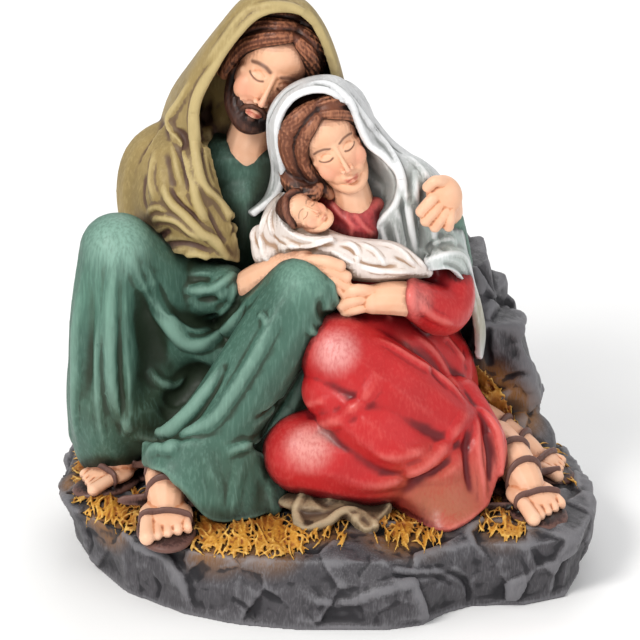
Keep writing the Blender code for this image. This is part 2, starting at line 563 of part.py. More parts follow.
def father_mantle():
    cloth(
        [
            HOOD_RIM,
            [
                (-31.5, 104, 10), (-41, 115.5, 12), (-48.5, 129, 14), (-49, 147, 16), (-41, 162, 14),
                (-32.5, 174, 12), (-25, 182, 12), (-17, 184, 12), (-7.5, 182, 13), (-1, 174.5, 14),
                (3.5, 164, 15), (6.5, 153, 16),
            ],
            [
                (-34.5, 102, 30), (-47.5, 112, 34), (-54.5, 130.5, 36), (-50.5, 150.5, 40),
                (-41, 164.5, 42), (-31.5, 175, 40), (-24.5, 182, 36), (-17, 183, 36), (-8.5, 180.5, 36),
                (-1.5, 171, 38), (3.5, 157, 36), (7.5, 144, 34),
            ],
            [
                (-32.5, 102, 50), (-41, 117, 54), (-44.5, 134, 56), (-39.5, 149, 54), (-34.5, 159, 52),
                (-27.5, 167, 50), (-22.5, 173, 48), (-17, 174.5, 48), (-11, 170.5, 48), (-6, 160.5, 50),
                (-2.5, 147, 50), (0.5, 134, 50),
            ],
        ],
        thick=3,
    )
    ball((-20.5, 155.5, 38), (21, 13, 26))
    # right shoulder and upper arm
    roll([(-46, 135.5, 26), (-54.5, 129, 26), (-56, 115.5, 22), (-52.5, 104, 16)], [11, 13, 13, 11])
    cloth(
        [
            [(-48.5, 144, 24), (-55, 137, 18), (-59.5, 127, 16), (-61.5, 114, 14), (-59, 102.5, 12)],
            [(-44.5, 140.5, 12), (-48.5, 130.5, 6), (-52.5, 119, 3), (-53.5, 109, 3), (-51, 100.5, 3)],
            [(-41, 137, 8), (-41, 124, 0), (-41.5, 110.5, -2), (-40, 104, -2), (-37, 98.5, -1)],
            [(-39.5, 134, 8), (-35.5, 120.5, 3), (-31.5, 110.5, 2), (-29, 104, 3), (-28.5, 96.5, 4)],
        ],
        thick=5,
    )
    ball(spot(-30, 40, 118), (28, 20, 28))
    roll([spot(-34, 44, 60), spot(-32, 46, 100), spot(-24, 36, 140)], [24, 22, 16])
    # left shoulder and arm passing behind
    roll([(-7.5, 130.5, 34), (7.5, 125.5, 36), (25.5, 112, 36), (40.5, 96.5, 30)], [14, 12, 11, 8])
    # the fall of the cloth down the back
    cloth([[spot(x, y, z) for x, y in row] for z, row in BACK_FALL], thick=4)
    piece = fuse("father_mantle", 4)
    push(piece, [
        ([(29, 150), (27, 120), (29, 90), (28, 52)], 3.4, -2.2),
        ([(8, 142), (9, 112), (13, 80), (13, 50)], 3.0, -1.8),
        ([(43, 132), (46, 104), (45, 62)], 3.0, -2.0),
        ([(-6, 134), (8, 127), (22, 125), (36, 128), (50, 136)], 4.0, -1.6),
        ([(-28, 112), (-22, 104), (-24, 96)], 2.4, -1.2),
        ([(-12, 122), (-8, 112), (-10, 104)], 2.4, -1.2),
    ], rounds=1, frame=rear())
    push(piece, [
        ([(25, 176), (32, 148), (37, 112), (38, 80), (36, 46)], 3.4, 2.2),
        ([(17, 176), (15, 146), (17, 112), (21, 80), (20, 44)], 3.2, 2.0),
        ([(9, 164), (3, 140), (2, 112), (6, 84), (7, 50)], 3.0, 1.8),
        ([(33, 166), (44, 140), (52, 112), (53, 80), (50, 52)], 3.0, 1.8),
        ([(-34, 104), (-29, 99), (-30, 92)], 2.0, 1.2),
        ([(-18, 116), (-14, 106), (-16, 100)], 2.2, 1.2),
    ], rounds=1, frame=rear())
    push(piece, [
        ([(-47.5, 141), (-46.5, 130.5), (-44, 120)], 4.0, -2.8),
        ([(-37.5, 153), (-39.5, 144), (-39, 132), (-36.5, 122)], 3.2, -2.0),
        ([(-52.5, 134), (-51, 125.5), (-48.5, 118.5)], 3.6, -1.6),
        ([(-57, 107), (-55, 104.5), (-50.5, 107)], 1.8, -2.0),
        ([(-52.5, 102), (-44.5, 102), (-36.5, 99.5)], 2.0, -1.8),
        ([(-39, 113), (-35.5, 106.5), (-32.5, 102.5)], 2.4, -1.8),
        ([(-51.5, 120.5), (-46.5, 114.5), (-39.5, 108.5)], 1.8, -1.8),
        ([(-31, 113), (-29.5, 108), (-30.5, 104)], 1.4, -1.4),
        ([(-59, 126.5), (-60, 118.5), (-58.5, 113)], 2.4, -1.0),
    ], rounds=1)
    push(piece, [
        ([p for p in HOOD_RIM[:9]], 1.9, 1.2),
        (
            [
                (-34.5, 162.5), (-39.5, 156), (-42.5, 149.5), (-43, 141.5), (-42, 132), (-39.5, 122),
                (-34, 116), (-29, 107.5),
            ],
            2.0, 1.9,
        ),
        (
            [
                (-43.5, 157), (-47.5, 149.5), (-50.5, 144), (-49, 138.5), (-45, 132), (-43, 124),
                (-41.5, 116), (-37, 107.5), (-32.5, 100),
            ],
            2.4, 2.2,
        ),
        ([(-53.5, 122), (-50.5, 116), (-46, 112), (-41.5, 107.5), (-35.5, 102.5), (-30.5, 97)], 2.0, 2.0),
        ([(-57, 110), (-54, 111), (-48.5, 110), (-43.5, 106), (-38.5, 103.5)], 1.9, 1.8),
        ([(-54.5, 101), (-50, 98.5), (-41.5, 99), (-33.5, 96)], 1.8, 1.2),
        ([(-58.5, 113), (-55, 114.5), (-51, 112.5)], 1.6, 1.0),
        ([(-55.5, 134), (-57, 124), (-55.5, 116)], 2.4, 1.2),
        ([(-39.5, 137), (-38.5, 127), (-35.5, 120)], 1.6, 1.0),
        ([(-39.5, 160.5), (-33.5, 168.5), (-27.5, 176.5), (-21.5, 182)], 2.2, 1.0),
        ([(-25, 179), (-17, 181), (-9, 180), (-3, 174)], 1.6, 0.8),
    ], rounds=1)
    return piece


VEIL_RIM = [
    (-23.5, 112, 4), (-15.5, 118.5, 2), (-13, 125.5, -2), (-14.5, 134, -6), (-14.5, 142.5, -8),
    (-10.5, 149.5, -9), (-3.5, 152.5, -9), (3.5, 151.5, -8), (9.5, 146, -6), (14.5, 135.5, -4),
    (20.5, 130.5, -4), (25, 124, -5), (23.5, 116, -5), (18.5, 110, -4), (16.5, 104, -2),
]


def mother_veil():
    cloth(
        [
            VEIL_RIM,
            [
                (-24.5, 112.5, 10), (-18.5, 118, 10), (-16, 126.5, 8), (-17.5, 136.5, 4), (-17, 146, 2),
                (-11.5, 153, 1), (-3, 156.5, 1), (5.5, 156, 2), (12.5, 148.5, 4), (20.5, 137.5, 6),
                (27, 132, 6), (32.5, 129, 4), (34.5, 122, -2), (29.5, 109, -3), (26.5, 98.5, -3),
            ],
            [
                (-20.5, 112.5, 18), (-17, 120.5, 22), (-15.5, 129, 22), (-15.5, 137, 20),
                (-13.5, 145.5, 18), (-8.5, 152, 16), (-1.5, 154, 16), (6.5, 152.5, 16),
                (13.5, 144.5, 18), (23, 135, 20), (31, 129.5, 18), (36.5, 122, 10), (40.5, 111, 4),
                (41.5, 101, 2), (39, 93, 0),
            ],
        ],
        thick=2.4,
    )
    # the shaded inner side beside the neck
    cloth(
        [
            [
                (13, 138, 0), (19.5, 131, -2), (24.5, 124, -3), (23.5, 116, -3), (18, 110, -2),
                (16.5, 104.5, 0),
            ],
            [
                (11.5, 135, 10), (14.5, 129, 12), (17, 122.5, 11), (17.5, 116, 9), (17, 109, 6),
                (16, 104, 4),
            ],
        ],
        thick=2.6,
    )
    ball((0.5, 139, 18), (16, 9, 18))
    ball((20, 126.5, 18), (8, 7, 7))
    roll([(17.5, 120.5, 14), (27.5, 119, 12), (35.5, 109, 8), (39.5, 98.5, 6)], [12, 13, 11, 9])
    # the hem over the elbow and the edge that falls behind
    cloth(
        [
            [
                (33.5, 93, -11), (41, 94, -9), (45.5, 91, -4), (48.5, 86, 2), (50.5, 79, 6),
                (51.5, 72, 8), (52, 64.5, 10),
            ],
            [
                (33.5, 96.5, -9), (40.5, 99.5, -7), (47, 98.5, 2), (49.5, 90, 8), (52, 82, 12),
                (53.5, 73, 14), (52.5, 64, 14),
            ],
            [
                (35.5, 100.5, 2), (41.5, 102, 6), (46.5, 99, 14), (49, 89.5, 18), (51.5, 80.5, 22),
                (52.5, 72, 24), (52.5, 64, 26),
            ],
        ],
        thick=2.4,
    )
    roll([(15.5, 117, 22), (29, 87, 34), (37.5, 57, 36)], [16, 18, 14])
    roll([(2.5, 144, 16), (9, 127, 22), (19, 110.5, 26)], [14, 15, 18])
    piece = fuse("mother_veil", 4)
    push(piece, [
        ([(-16, 130), (-26, 116), (-34, 100)], 3.0, 1.6),
        ([(-22, 100), (-26, 84), (-28, 62)], 3.0, 1.8),
        ([(-12, 98), (-15, 80), (-16, 60)], 2.8, 1.6),
        ([(-34, 98), (-37, 82), (-38, 64)], 2.8, 1.4),
        ([(-18, 96), (-21, 78), (-22, 60)], 2.4, -1.4),
        ([(-30, 96), (-32, 80), (-33, 62)], 2.4, -1.4),
    ], rounds=1, frame=rear())
    push(piece, [
        ([(27.5, 118.5), (26.5, 109), (29, 98.5)], 2.6, -2.0),
        ([(32.5, 120.5), (32, 110.5), (33.5, 100)], 2.6, -1.6),
        ([(21.5, 110), (23, 102), (25.5, 96.5)], 2.4, -1.4),
        ([(-3.5, 155), (3.5, 153), (7.5, 148.5), (11, 140.5)], 1.3, -1.7),
        ([(39, 96), (45, 94.5), (48.5, 90)], 1.6, -1.3),
        ([(38.5, 106.5), (39.5, 102), (41.5, 100)], 2.2, -1.2),
        ([(17, 142.5), (21.5, 136.5), (26.5, 132)], 1.6, -1.1),
        ([(-19, 118.5), (-19.5, 130.5), (-18.5, 142), (-13.5, 151), (-6.5, 155.5)], 1.2, -1.1),
        ([(9, 152), (14.5, 144), (19, 137)], 1.2, -0.9),
        ([(34.5, 98), (35.5, 101.5), (37.5, 104)], 1.4, -1.4),
        ([(31.5, 112.5), (32, 106.5), (32.5, 100.5)], 1.4, -1.4),
    ], rounds=1)
    push(piece, [
        ([p for p in VEIL_RIM], 1.7, 0.9),
        (
            [
                (5.5, 155), (9.5, 150), (16, 140.5), (21.5, 134), (25.5, 126.5), (27.5, 117), (29, 108),
                (30.5, 98.5),
            ],
            1.9, 1.3,
        ),
        ([(-6.5, 154.5), (1, 155), (7, 151.5), (11.5, 144.5)], 1.6, 0.8),
        ([(30.5, 127), (31, 117), (31.5, 102)], 1.8, 1.1),
        ([(35, 122.5), (35.5, 112), (37.5, 102)], 1.8, 1.0),
        ([(24.5, 114), (26.5, 105.5), (27.5, 98.5)], 1.6, 0.9),
        ([(19, 108.5), (21, 102.5), (22.5, 98.5)], 1.6, 0.9),
        ([(26.5, 132), (31.5, 128.5), (35.5, 123)], 1.8, 0.8),
        ([(34, 96.5), (41, 99), (47, 98), (50, 89), (52.5, 80.5), (53, 71)], 1.5, 0.9),
        ([(35.5, 102), (41.5, 104), (44.5, 102)], 1.6, 0.9),
        ([(-18.5, 118), (-16.5, 124), (-17, 134)], 1.3, 0.5),
    ], rounds=1)
    return piece


def mother_dress():
    roll([(9.5, 110, 8), (11.5, 103, 12), (22.5, 80.5, 18), (33.5, 59, 22)], [10.5, 15, 18, 18])
    roll([(0.5, 118.5, 3), (4.5, 114, -1), (11, 111, -3), (17.5, 115, 1)], [3.4, 3.4, 3.4, 3.4])
    roll([(-0.5, 111, 3), (9, 107.5, 0), (17.5, 110, 3)], [7, 8, 7])
    roll([(40.5, 94.5, 6), (41.5, 85, 0), (39, 80.5, -6), (30.5, 84, -14)], [9, 9.5, 9, 7])
    ball((33.5, 55.5, 18), (19, 24, 20))
    roll([(33.5, 60, 12), (19, 67, 0), (5.5, 66.5, -20)], [18, 18, 14])
    roll([(5.5, 66.5, -20), (25.5, 50.5, -22), (45.5, 37, -16), (56.5, 31, -10)], [14, 16, 12, 8])
    roll([(32.5, 44, 10), (9, 37, -12), (-6.5, 33, -25)], [20, 18, 14])
    roll([(-6.5, 33, -25), (15.5, 30, -26), (39, 30, -20), (55.5, 29, -8)], [14, 15, 12, 8])
    roll([(2.5, 54, -24), (19, 40.5, -30), (39, 29, -28)], [10, 13, 10])
    roll([(45.5, 50.5, -6), (51.5, 44.5, -13), (57, 38, -18), (58, 30, -20)], [8, 6, 4, 4])
    roll([(29.5, 90, -14), (29, 84.5, -21), (31, 78.5, -17), (34.5, 76.5, -10)], [2, 2.2, 2.4, 2])
    cloth(
        [
            [(15.5, 24.5, -30), (25.5, 24.5, -34), (39, 28.5, -34), (51.5, 38.5, -24), (56.5, 42, -14)],
            [(19, 20.5, -30), (29, 18, -36), (41, 17, -38), (51.5, 20.5, -32), (58.5, 28, -22)],
            [(23, 17, -26), (29.5, 12, -34), (38.5, 7, -44), (46.5, 9, -42), (55, 15.5, -34)],
        ],
        thick=3.5,
    )
    piece = fuse("mother_dress", 10)
    push(piece, [
        ([(19, 38.5), (29.5, 40.5), (39, 41)], 7, -0.7),
        ([(53.5, 42.5), (55.5, 32), (55.5, 23)], 2.2, -1.8),
        ([(48, 41), (47.5, 32), (49, 19)], 2.4, -1.4),
        ([(25.5, 70.5), (34, 63), (41.5, 54.5)], 3, -1.2),
        ([(47.5, 69), (49, 59)], 3, -1.0),
        ([(2.5, 46.5), (12.5, 45)], 4, -0.7),
        ([(24, 24), (35.5, 26), (44, 32)], 3, -1.6),
    ], rounds=3)
    push(piece, [
        ([(15.5, 71.5), (21.5, 69), (29.5, 64), (36, 60), (42.5, 55), (47.5, 49.5)], 2.6, 1.4),
        ([(29.5, 73), (37, 66), (42.5, 57), (48.5, 50)], 2.4, 1.3),
        ([(40.5, 72), (44.5, 67), (49, 61.5)], 2.0, 1.0),
        ([(18.5, 60), (15.5, 54), (10, 48), (4, 44), (-3, 42.5), (-8, 39.5)], 3.6, 1.3),
        ([(-10, 48), (-3.5, 49.5), (2.5, 51)], 2.4, 0.6),
        ([(49, 48), (43, 39.5), (37, 32), (29.5, 26.5), (18.5, 22.5), (5.5, 23)], 3.8, 1.4),
        ([(15.5, 33), (25.5, 32), (35.5, 35)], 3.2, 0.8),
        ([(51, 45.5), (51, 37), (51.5, 30.5), (52.5, 25), (53.5, 16)], 2.4, 1.5),
        ([(52.5, 46.5), (56.5, 42.5), (59, 34), (58.5, 25), (55.5, 17)], 2.4, 1.5),
        ([(50.5, 48), (54.5, 45.5), (60, 37)], 1.8, 0.9),
        ([(16.5, 84), (23, 76.5)], 2.5, 1.0),
        ([(2.5, 116.5), (6.5, 111), (12.5, 106.5)], 1.5, 0.8),
        ([(9.5, 113), (13, 108.5), (17, 105)], 1.5, 0.8),
        ([(7, 114), (9, 109), (9.5, 104.5)], 1.4, 0.6),
        ([(31.5, 84), (35.5, 79), (43, 75.5)], 2.4, 1.0),
    ], rounds=2)
    return piece


def child_wrap():
    ball((-13, 108, -1), (8, 8, 9))
    roll(
        [
            (-7.5, 103, -8), (4, 99, -12), (13, 97, -13), (22.5, 96.5, -12), (29.5, 94.5, -11),
            (34.5, 93, -10),
        ],
        [8, 7, 7.3, 6.8, 4.5, 2],
    )
    roll([(-20.5, 105, 0), (-17, 98.5, -4), (-8.5, 96.5, -8)], [4, 6, 6])
    cloth(
        [
            [
                (-12, 119, -2), (-14, 115.5, -6), (-13.5, 110.5, -11), (-9.5, 106, -15),
                (-3.5, 104, -18), (3, 104.5, -17),
            ],
            [
                (-15, 119, 6), (-18.5, 114, 4), (-19.5, 106.5, 0), (-15.5, 100.5, -6), (-6, 99.5, -12),
                (5.5, 102, -14),
            ],
        ],
        thick=2.2,
    )
    piece = fuse("child_wrap", 3)
    push(piece, [
        ([(-17.5, 106.5), (-15, 103), (-10.5, 101)], 1.5, -1.1),
        ([(-22.5, 110), (-23, 104.5), (-20.5, 100)], 1.5, -1.0),
        ([(-12.5, 100), (-7, 99), (-1.5, 100.5)], 1.4, -0.9),
        ([(9.5, 96.5), (17.5, 94.5), (25, 95)], 1.6, -1.1),
        ([(-0.5, 98), (5, 94.5), (9.5, 92.5)], 1.5, -1.0),
        ([(23, 98.5), (27, 96.5), (31, 94)], 1.3, -0.9),
        ([(5, 102), (9, 100.5), (13, 96.5)], 1.3, -0.8),
    ], rounds=0)
    push(piece, [
        ([(-18.5, 113), (-20.5, 106.5), (-20, 98.5)], 1.6, 1.1),
        ([(-15.5, 116), (-17.5, 110), (-15.5, 104), (-11, 100.5)], 1.4, 0.9),
        ([(-13.5, 102), (-6, 101.5), (3.5, 104)], 1.5, 1.1),
        ([(7, 103.5), (11, 100.5), (11.5, 94.5)], 1.5, 0.9),
        ([(11, 103), (17, 100), (21, 94.5)], 1.4, 0.8),
        ([(17.5, 103), (25, 100.5), (30.5, 95)], 1.5, 0.9),
        ([(1.5, 100.5), (9, 96.5), (20.5, 92.5)], 1.5, 0.9),
        ([(-3.5, 99), (2.5, 95), (9, 90.5)], 1.5, 0.8),
        ([(24.5, 102), (29.5, 98.5), (34.5, 94)], 1.3, 0.8),
        ([(14.5, 94), (22.5, 93), (29.5, 93)], 1.3, 0.7),
        ([(-20.5, 98), (-15.5, 96), (-10.5, 96.5)], 1.4, 0.7),
    ], rounds=1)
    return piece


FACES = {
    "father": dict(centre=(-17.5, 160.5, 18), size=39, lean=28, heading=3, nod=3, shift=(0, 0.02, -0.5)),
    "mother": dict(centre=(2.5, 136, 0), size=33.5, lean=-27, heading=12, nod=8, shift=(0, 0.02, -0.5)),
    "child": dict(
        centre=(-5.5, 112, -9), size=18.5, lean=-52, heading=38, nod=-16, shift=(0, 0.02, -0.5),
    ),
}
FEATURES = {
    "father": dict(jaw=1.0, brow=1.0, age=1.0, nose=1.0, grain=0.33),
    "mother": dict(jaw=0.78, brow=0.5, age=0.0, nose=0.85, grain=0.30),
    "child": dict(jaw=0.95, brow=0.3, age=0.0, nose=0.75, grain=0.22),
}


def head(who):
    f = frame_at(**FACES[who])
    jaw, brow, age, nose, grain = FEATURES[who].values()
    ball((0, 0.06, 0.64), (0.33, 0.40, 0.36), frame=f)
    ball((0, -0.14, 0.70), (0.27, 0.21, 0.22), frame=f)
    ball((0, -0.10, 0.42), (0.265, 0.26, 0.30), frame=f)
    line = [(0.235 * jaw, 0.02, 0.36), (0.180 * jaw, -0.14, 0.175), (0.06, -0.260, 0.085)]
    roll(line + [(-x, y, z) for x, y, z in reversed(line)], [0.08, 0.08, 0.07, 0.07, 0.08, 0.08], frame=f)
    ball((0, -0.14, 0.23), (0.19 * jaw, 0.185, 0.17), frame=f)
    ball((0, -0.275, 0.085), (0.070, 0.060, 0.060), frame=f)
    ball((0, -0.20, 0.50), (0.20, 0.11, 0.13), frame=f)
    for s in (-1, 1):
        ball((s * 0.095, -0.228, 0.25), (0.09, 0.08, 0.11), frame=f)
        ball((s * 0.145, -0.215, 0.345), (0.11, 0.10, 0.135), frame=f)
        roll([(s * 0.11, -0.27, 0.41), (s * 0.215, -0.17, 0.45)], [0.045, 0.05], frame=f)
        ball((s * 0.123, -0.262, 0.492), (0.070, 0.055, 0.047), frame=f)
        ball((s * 0.046, -0.368, 0.318), (0.028 * nose, 0.038, 0.025), frame=f)
    arch = [(0.215, -0.20, 0.575), (0.11, -0.293, 0.602)]
    size = [0.025 + 0.012 * brow * k for k in (0.3, 1, 0.6, 1, 0.3)]
    roll(arch + [(0, -0.305, 0.59)] + [(-x, y, z) for x, y, z in reversed(arch)], size, frame=f)
    roll(
        [(0, -0.318, 0.58), (0, -0.362, 0.47), (0, -0.410, 0.365), (0, -0.420, 0.335)],
        [0.028, 0.024 * nose, 0.030 * nose, 0.036 * nose],
        frame=f,
    )
    ball((0, -0.268, 0.215), (0.12, 0.088, 0.085), frame=f)
    upper = [(0.078, -0.322, 0.172), (0.034, -0.356, 0.211)]
    roll(
        upper + [(0, -0.362, 0.215)] + [(-x, y, z) for x, y, z in reversed(upper)],
        [0.007, 0.016, 0.016, 0.016, 0.007], frame=f,
    )
    roll(
        [(-0.062, -0.326, 0.164), (0, -0.357, 0.177), (0.062, -0.326, 0.164)], [0.009, 0.022, 0.009],
        frame=f,
    )
    return fuse(who + "_head", 2)


def father_hair():
    f = frame_at(**FACES["father"])
    ball((0, 0.09, 0.68), (0.355, 0.40, 0.36), frame=f)
    for s, drop in ((-1, 0.26), (1, 0.34)):
        roll(
            [
                (s * 0.02, -0.245, 0.935), (s * 0.14, -0.275, 0.885), (s * 0.25, -0.22, 0.77),
                (s * 0.315, -0.12, 0.62), (s * 0.33, -0.05, 0.46), (s * 0.31, 0.01, drop),
            ],
            [0.045, 0.065, 0.07, 0.065, 0.055, 0.045], f,
        )
        roll(
            [
                (s * 0.02, -0.17, 0.99), (s * 0.16, -0.20, 0.945), (s * 0.28, -0.12, 0.83),
                (s * 0.345, -0.01, 0.64), (s * 0.35, 0.04, 0.42), (s * 0.33, 0.08, 0.25),
            ],
            [0.05, 0.07, 0.075, 0.07, 0.06, 0.05], f,
        )
        roll(
            [
                (s * 0.02, -0.06, 1.03), (s * 0.17, -0.08, 0.99), (s * 0.30, 0.0, 0.86),
                (s * 0.36, 0.08, 0.64), (s * 0.36, 0.12, 0.4),
            ],
            [0.05, 0.07, 0.075, 0.07, 0.06], f,
        )
    return fuse("father_hair", 1)


def father_beard():
    f = frame_at(**FACES["father"])
    side = [(0.28, -0.02, 0.42), (0.255, -0.09, 0.27), (0.185, -0.19, 0.14), (0.08, -0.28, 0.075)]
    roll(
        side + [(0, -0.30, 0.055)] + [(-x, y, z) for x, y, z in reversed(side)],
        [0.03, 0.045, 0.065, 0.075, 0.08, 0.075, 0.065, 0.045, 0.03], frame=f,
    )
    ball((0, -0.20, 0.08), (0.16, 0.15, 0.10), frame=f)
    for s in (-1, 1):
        for y, z, r in ((0.0, 0.0, 0.020), (0.016, -0.018, 0.018)):
            roll(
                [
                    (s * 0.010, -0.378 + y, 0.266 + z), (s * 0.05, -0.368 + y, 0.258 + z),
                    (s * 0.095, -0.330 + y, 0.21 + z), (s * 0.110, -0.30 + y, 0.14 + z),
                ],
                [r * 0.8, r, r, r * 0.8], frame=f,
            )
    ball((0, -0.335, 0.130), (0.045, 0.032, 0.035), frame=f)
    rng = np.random.default_rng(4)
    blades = []
    for k in range(64):
        turn = math.radians(-105 + 210 * (k + 0.5) / 64)
        for row in range(2):
            x, y = 0.215 * math.sin(turn), -0.10 - 0.215 * math.cos(turn)
            z = 0.20 + 0.16 * abs(math.sin(turn)) ** 2 - 0.06 * row + rng.normal(0, 0.012)
            if abs(x) < 0.075 and row == 0:
                continue
            out = 1.10 + 0.05 * row
            low = z - rng.uniform(0.10, 0.14)
            mid = (x * out * 0.98, (y + 0.10) * out - 0.10, (z + low) / 2)
            path = [(x, y, z), mid, (x * 0.92, (y + 0.10) * 0.96 - 0.10, low)]
            blades.append([(*at(p, f), r * f.to_scale()[0]) for p, r in zip(path, (0.012, 0.017, 0.009))])
    strands(blades)
    return fuse("father_beard", 1)


def mother_hair():
    f = frame_at(**FACES["mother"])
    ball((0, 0.09, 0.68), (0.355, 0.40, 0.36), frame=f)
    roll(
        [
            (0.02, -0.245, 0.935), (-0.13, -0.275, 0.87), (-0.255, -0.22, 0.74), (-0.32, -0.14, 0.56),
            (-0.325, -0.10, 0.38), (-0.30, -0.08, 0.2), (-0.26, -0.12, 0.04),
        ],
        [0.04, 0.065, 0.07, 0.065, 0.065, 0.065, 0.05], f,
    )
    roll(
        [
            (0.02, -0.17, 1.01), (-0.19, -0.19, 0.98), (-0.345, -0.12, 0.84), (-0.415, -0.05, 0.60),
            (-0.41, -0.01, 0.38), (-0.36, 0.0, 0.16),
        ],
        [0.06, 0.09, 0.10, 0.095, 0.085, 0.06], f,
    )
    roll(
        [
            (0.03, -0.245, 0.935), (0.15, -0.27, 0.88), (0.255, -0.20, 0.75), (0.31, -0.09, 0.58),
            (0.30, -0.02, 0.42),
        ],
        [0.04, 0.06, 0.055, 0.045, 0.035], f,
    )
    roll(
        [
            (0.03, -0.17, 0.99), (0.18, -0.19, 0.955), (0.31, -0.10, 0.81), (0.36, 0.0, 0.60),
            (0.35, 0.06, 0.42),
        ],
        [0.06, 0.08, 0.075, 0.06, 0.045], f,
    )
    roll(
        [(-12, 130.5, 2), (-10, 124, -1), (-7, 120, -4), (-3.5, 119, -6), (-1.5, 121, -6)],
        [3.6, 4.2, 3.8, 3.0, 1.8],
    )
    return fuse("mother_hair", 1)


def child_hair():
    f = frame_at(**FACES["child"])
    ball((0, 0.10, 0.70), (0.365, 0.42, 0.37), frame=f)
    roll(
        [(0.02, -0.24, 0.97), (-0.16, -0.25, 0.88), (-0.28, -0.17, 0.74), (-0.34, -0.08, 0.58)],
        [0.04, 0.06, 0.06, 0.05], f,
    )
    roll(
        [(0.02, -0.24, 0.97), (0.16, -0.25, 0.90), (0.28, -0.16, 0.76), (0.34, -0.06, 0.6)],
        [0.04, 0.055, 0.055, 0.045], f,
    )
    return fuse("child_hair", 1)


def necks():
    roll([(-19.5, 150.5, 24), (-24.5, 137, 22), (-25.5, 132, 22)], [8, 8, 9])
    roll([(6, 130, 4), (8.5, 122, 1), (10, 115, 2)], [6.2, 6.4, 7.5])
    roll([(2.5, 114.5, 6), (9.5, 113, 3), (16.5, 114.5, 6)], [5, 6.5, 5])
    return fuse("necks", 3)


FEET = {
    "father_right": dict(centre=(-60.5, 25, 4), size=37, heading=-52, nod=2, side=1, rise=0.33),
    "father_left": dict(centre=(-52.5, 15, -24), size=43, heading=2, nod=6, side=-1, rise=0.22),
    "mother_right": dict(centre=(62.5, 20.5, -12), size=42, heading=27, nod=6, side=-1, rise=0.33),
    "mother_left": dict(centre=(60.5, 29, 14), size=36, heading=60, nod=4, side=-1, rise=0.40),
}


def foot_skin(spec):
    f = frame_at(spec["centre"], spec["size"], heading=spec["heading"], nod=spec["nod"])
    s = spec["side"]
    rise = spec["rise"]
    roll(
        [
            (0, 0.26, rise), (0, 0.12, (rise + 0.3) / 2), (0, -0.06, 0.27), (0, -0.26, 0.19),
            (0, -0.42, 0.13),
        ],
        [0.15, 0.155, 0.155, 0.14, 0.09], frame=f,
    )
    ball((0, 0.12, 0.18), (0.14, 0.16, 0.14), frame=f)
    ball((0, -0.36, 0.135), (0.21, 0.22, 0.085), frame=f)
    for i in range(5):
        x = s * (0.150 - 0.078 * i)
        r = 0.060 if i == 0 else 0.043 - 0.002 * i
        tip = -0.670 + 0.030 * i
        roll(
            [(x * 0.9, -0.40, 0.15), (x, -0.54, 0.135), (x * 1.02, tip, 0.105)], [r, r * 0.95, r],
            frame=f,
        )


def foot_leather(spec):
    f = frame_at(spec["centre"], spec["size"], heading=spec["heading"], nod=spec["nod"])
    ball((0, -0.42, 0.03), (0.235, 0.345, 0.075), frame=f)
    ball((0, 0.03, 0.035), (0.185, 0.28, 0.055), frame=f)
    tree = BVHTree.FromObject(bpy.data.objects["feet"], bpy.context.evaluated_depsgraph_get())
    for y, lean, reach in ((0.04, 0.12, 0.62), (-0.20, 0.04, 0.46), (-0.46, -0.02, 0.34)):
        strap = []
        middle = f @ Vector((0, y, 0.06))
        for k in range(13):
            turn = math.pi * k / 12
            out = Vector((math.cos(turn), -lean * math.sin(turn), math.sin(turn)))
            start = f @ (Vector((0, y, 0.06)) + out * reach)
            hit = tree.ray_cast(start, (middle - start).normalized())[0]
            if hit is not None:
                strap.append(tuple(hit))
        roll(strap, 0.85 * UNIT, frame=Matrix())
        roll([tuple(Vector(p) + Vector((0, 0, 1.0 * UNIT))) for p in strap], 0.8 * UNIT, frame=Matrix())


def feet():
    for spec in FEET.values():
        foot_skin(spec)
    return fuse("feet", 2)


def sandals():
    for spec in FEET.values():
        foot_leather(spec)
    return fuse("sandals", 2)


def hands():
    # Joseph's left hand on Mary's arm
    ball((40, 118.5, -6), (6, 4.5, 7), (0, -20, 0))
    roll([(41.5, 113, 4), (41, 117, -4)], [5, 5])
    for path, r in (
        ([(40.5, 122.5, -7), (37, 123, -9.5), (34.5, 121, -8.5)], 1.9),
        ([(39, 120, -7), (35.5, 116.5, -9.5), (32.5, 113, -8.5)], 2.1),
        ([(40, 118, -7), (37, 113.5, -9.5), (34, 110, -8.5)], 2.1),
        ([(41.5, 116, -7), (39.5, 111.5, -9.5), (37, 108, -8.5)], 2.0),
        ([(42.5, 115, -7), (42, 111, -9.5), (41.5, 108, -8.5)], 1.8),
    ):
        roll(path, r)
    # Joseph's right forearm and hand under the child
    roll([(-27.5, 87, 0), (-20.5, 91, -6), (-11, 95.5, -12), (-6, 96.5, -15)], [5.5, 5.5, 5, 4.5])
    for path, r in (
        ([(-6, 97, -17), (0.5, 96.5, -20), (5.5, 95, -20)], 2.2),
        ([(-6, 95.5, -17), (1, 94, -20), (7.5, 91.5, -20)], 2.2),
        ([(-4.5, 94, -17), (2.5, 91.5, -20), (7.5, 88.5, -20)], 2.2),
        ([(-1.5, 91, -17), (3.5, 88.5, -20), (6.5, 86.5, -20)], 1.9),
    ):
        roll(path, r)
    # Mary's left forearm and hand
    roll([(31, 84, -14), (22.5, 84.5, -17), (16.5, 84, -18)], [6.2, 5.8, 5])
    for path, r in (
        ([(16.5, 86.5, -19), (11, 87, -21), (7.5, 86, -20)], 2.2),
        ([(15.5, 84.5, -19), (10.5, 84, -21), (6.5, 82, -20)], 2.3),
        ([(15.5, 82, -19), (11, 81, -21), (7.5, 80, -20)], 2.1),
    ):
        roll(path, r)
    return fuse("hands", 3)


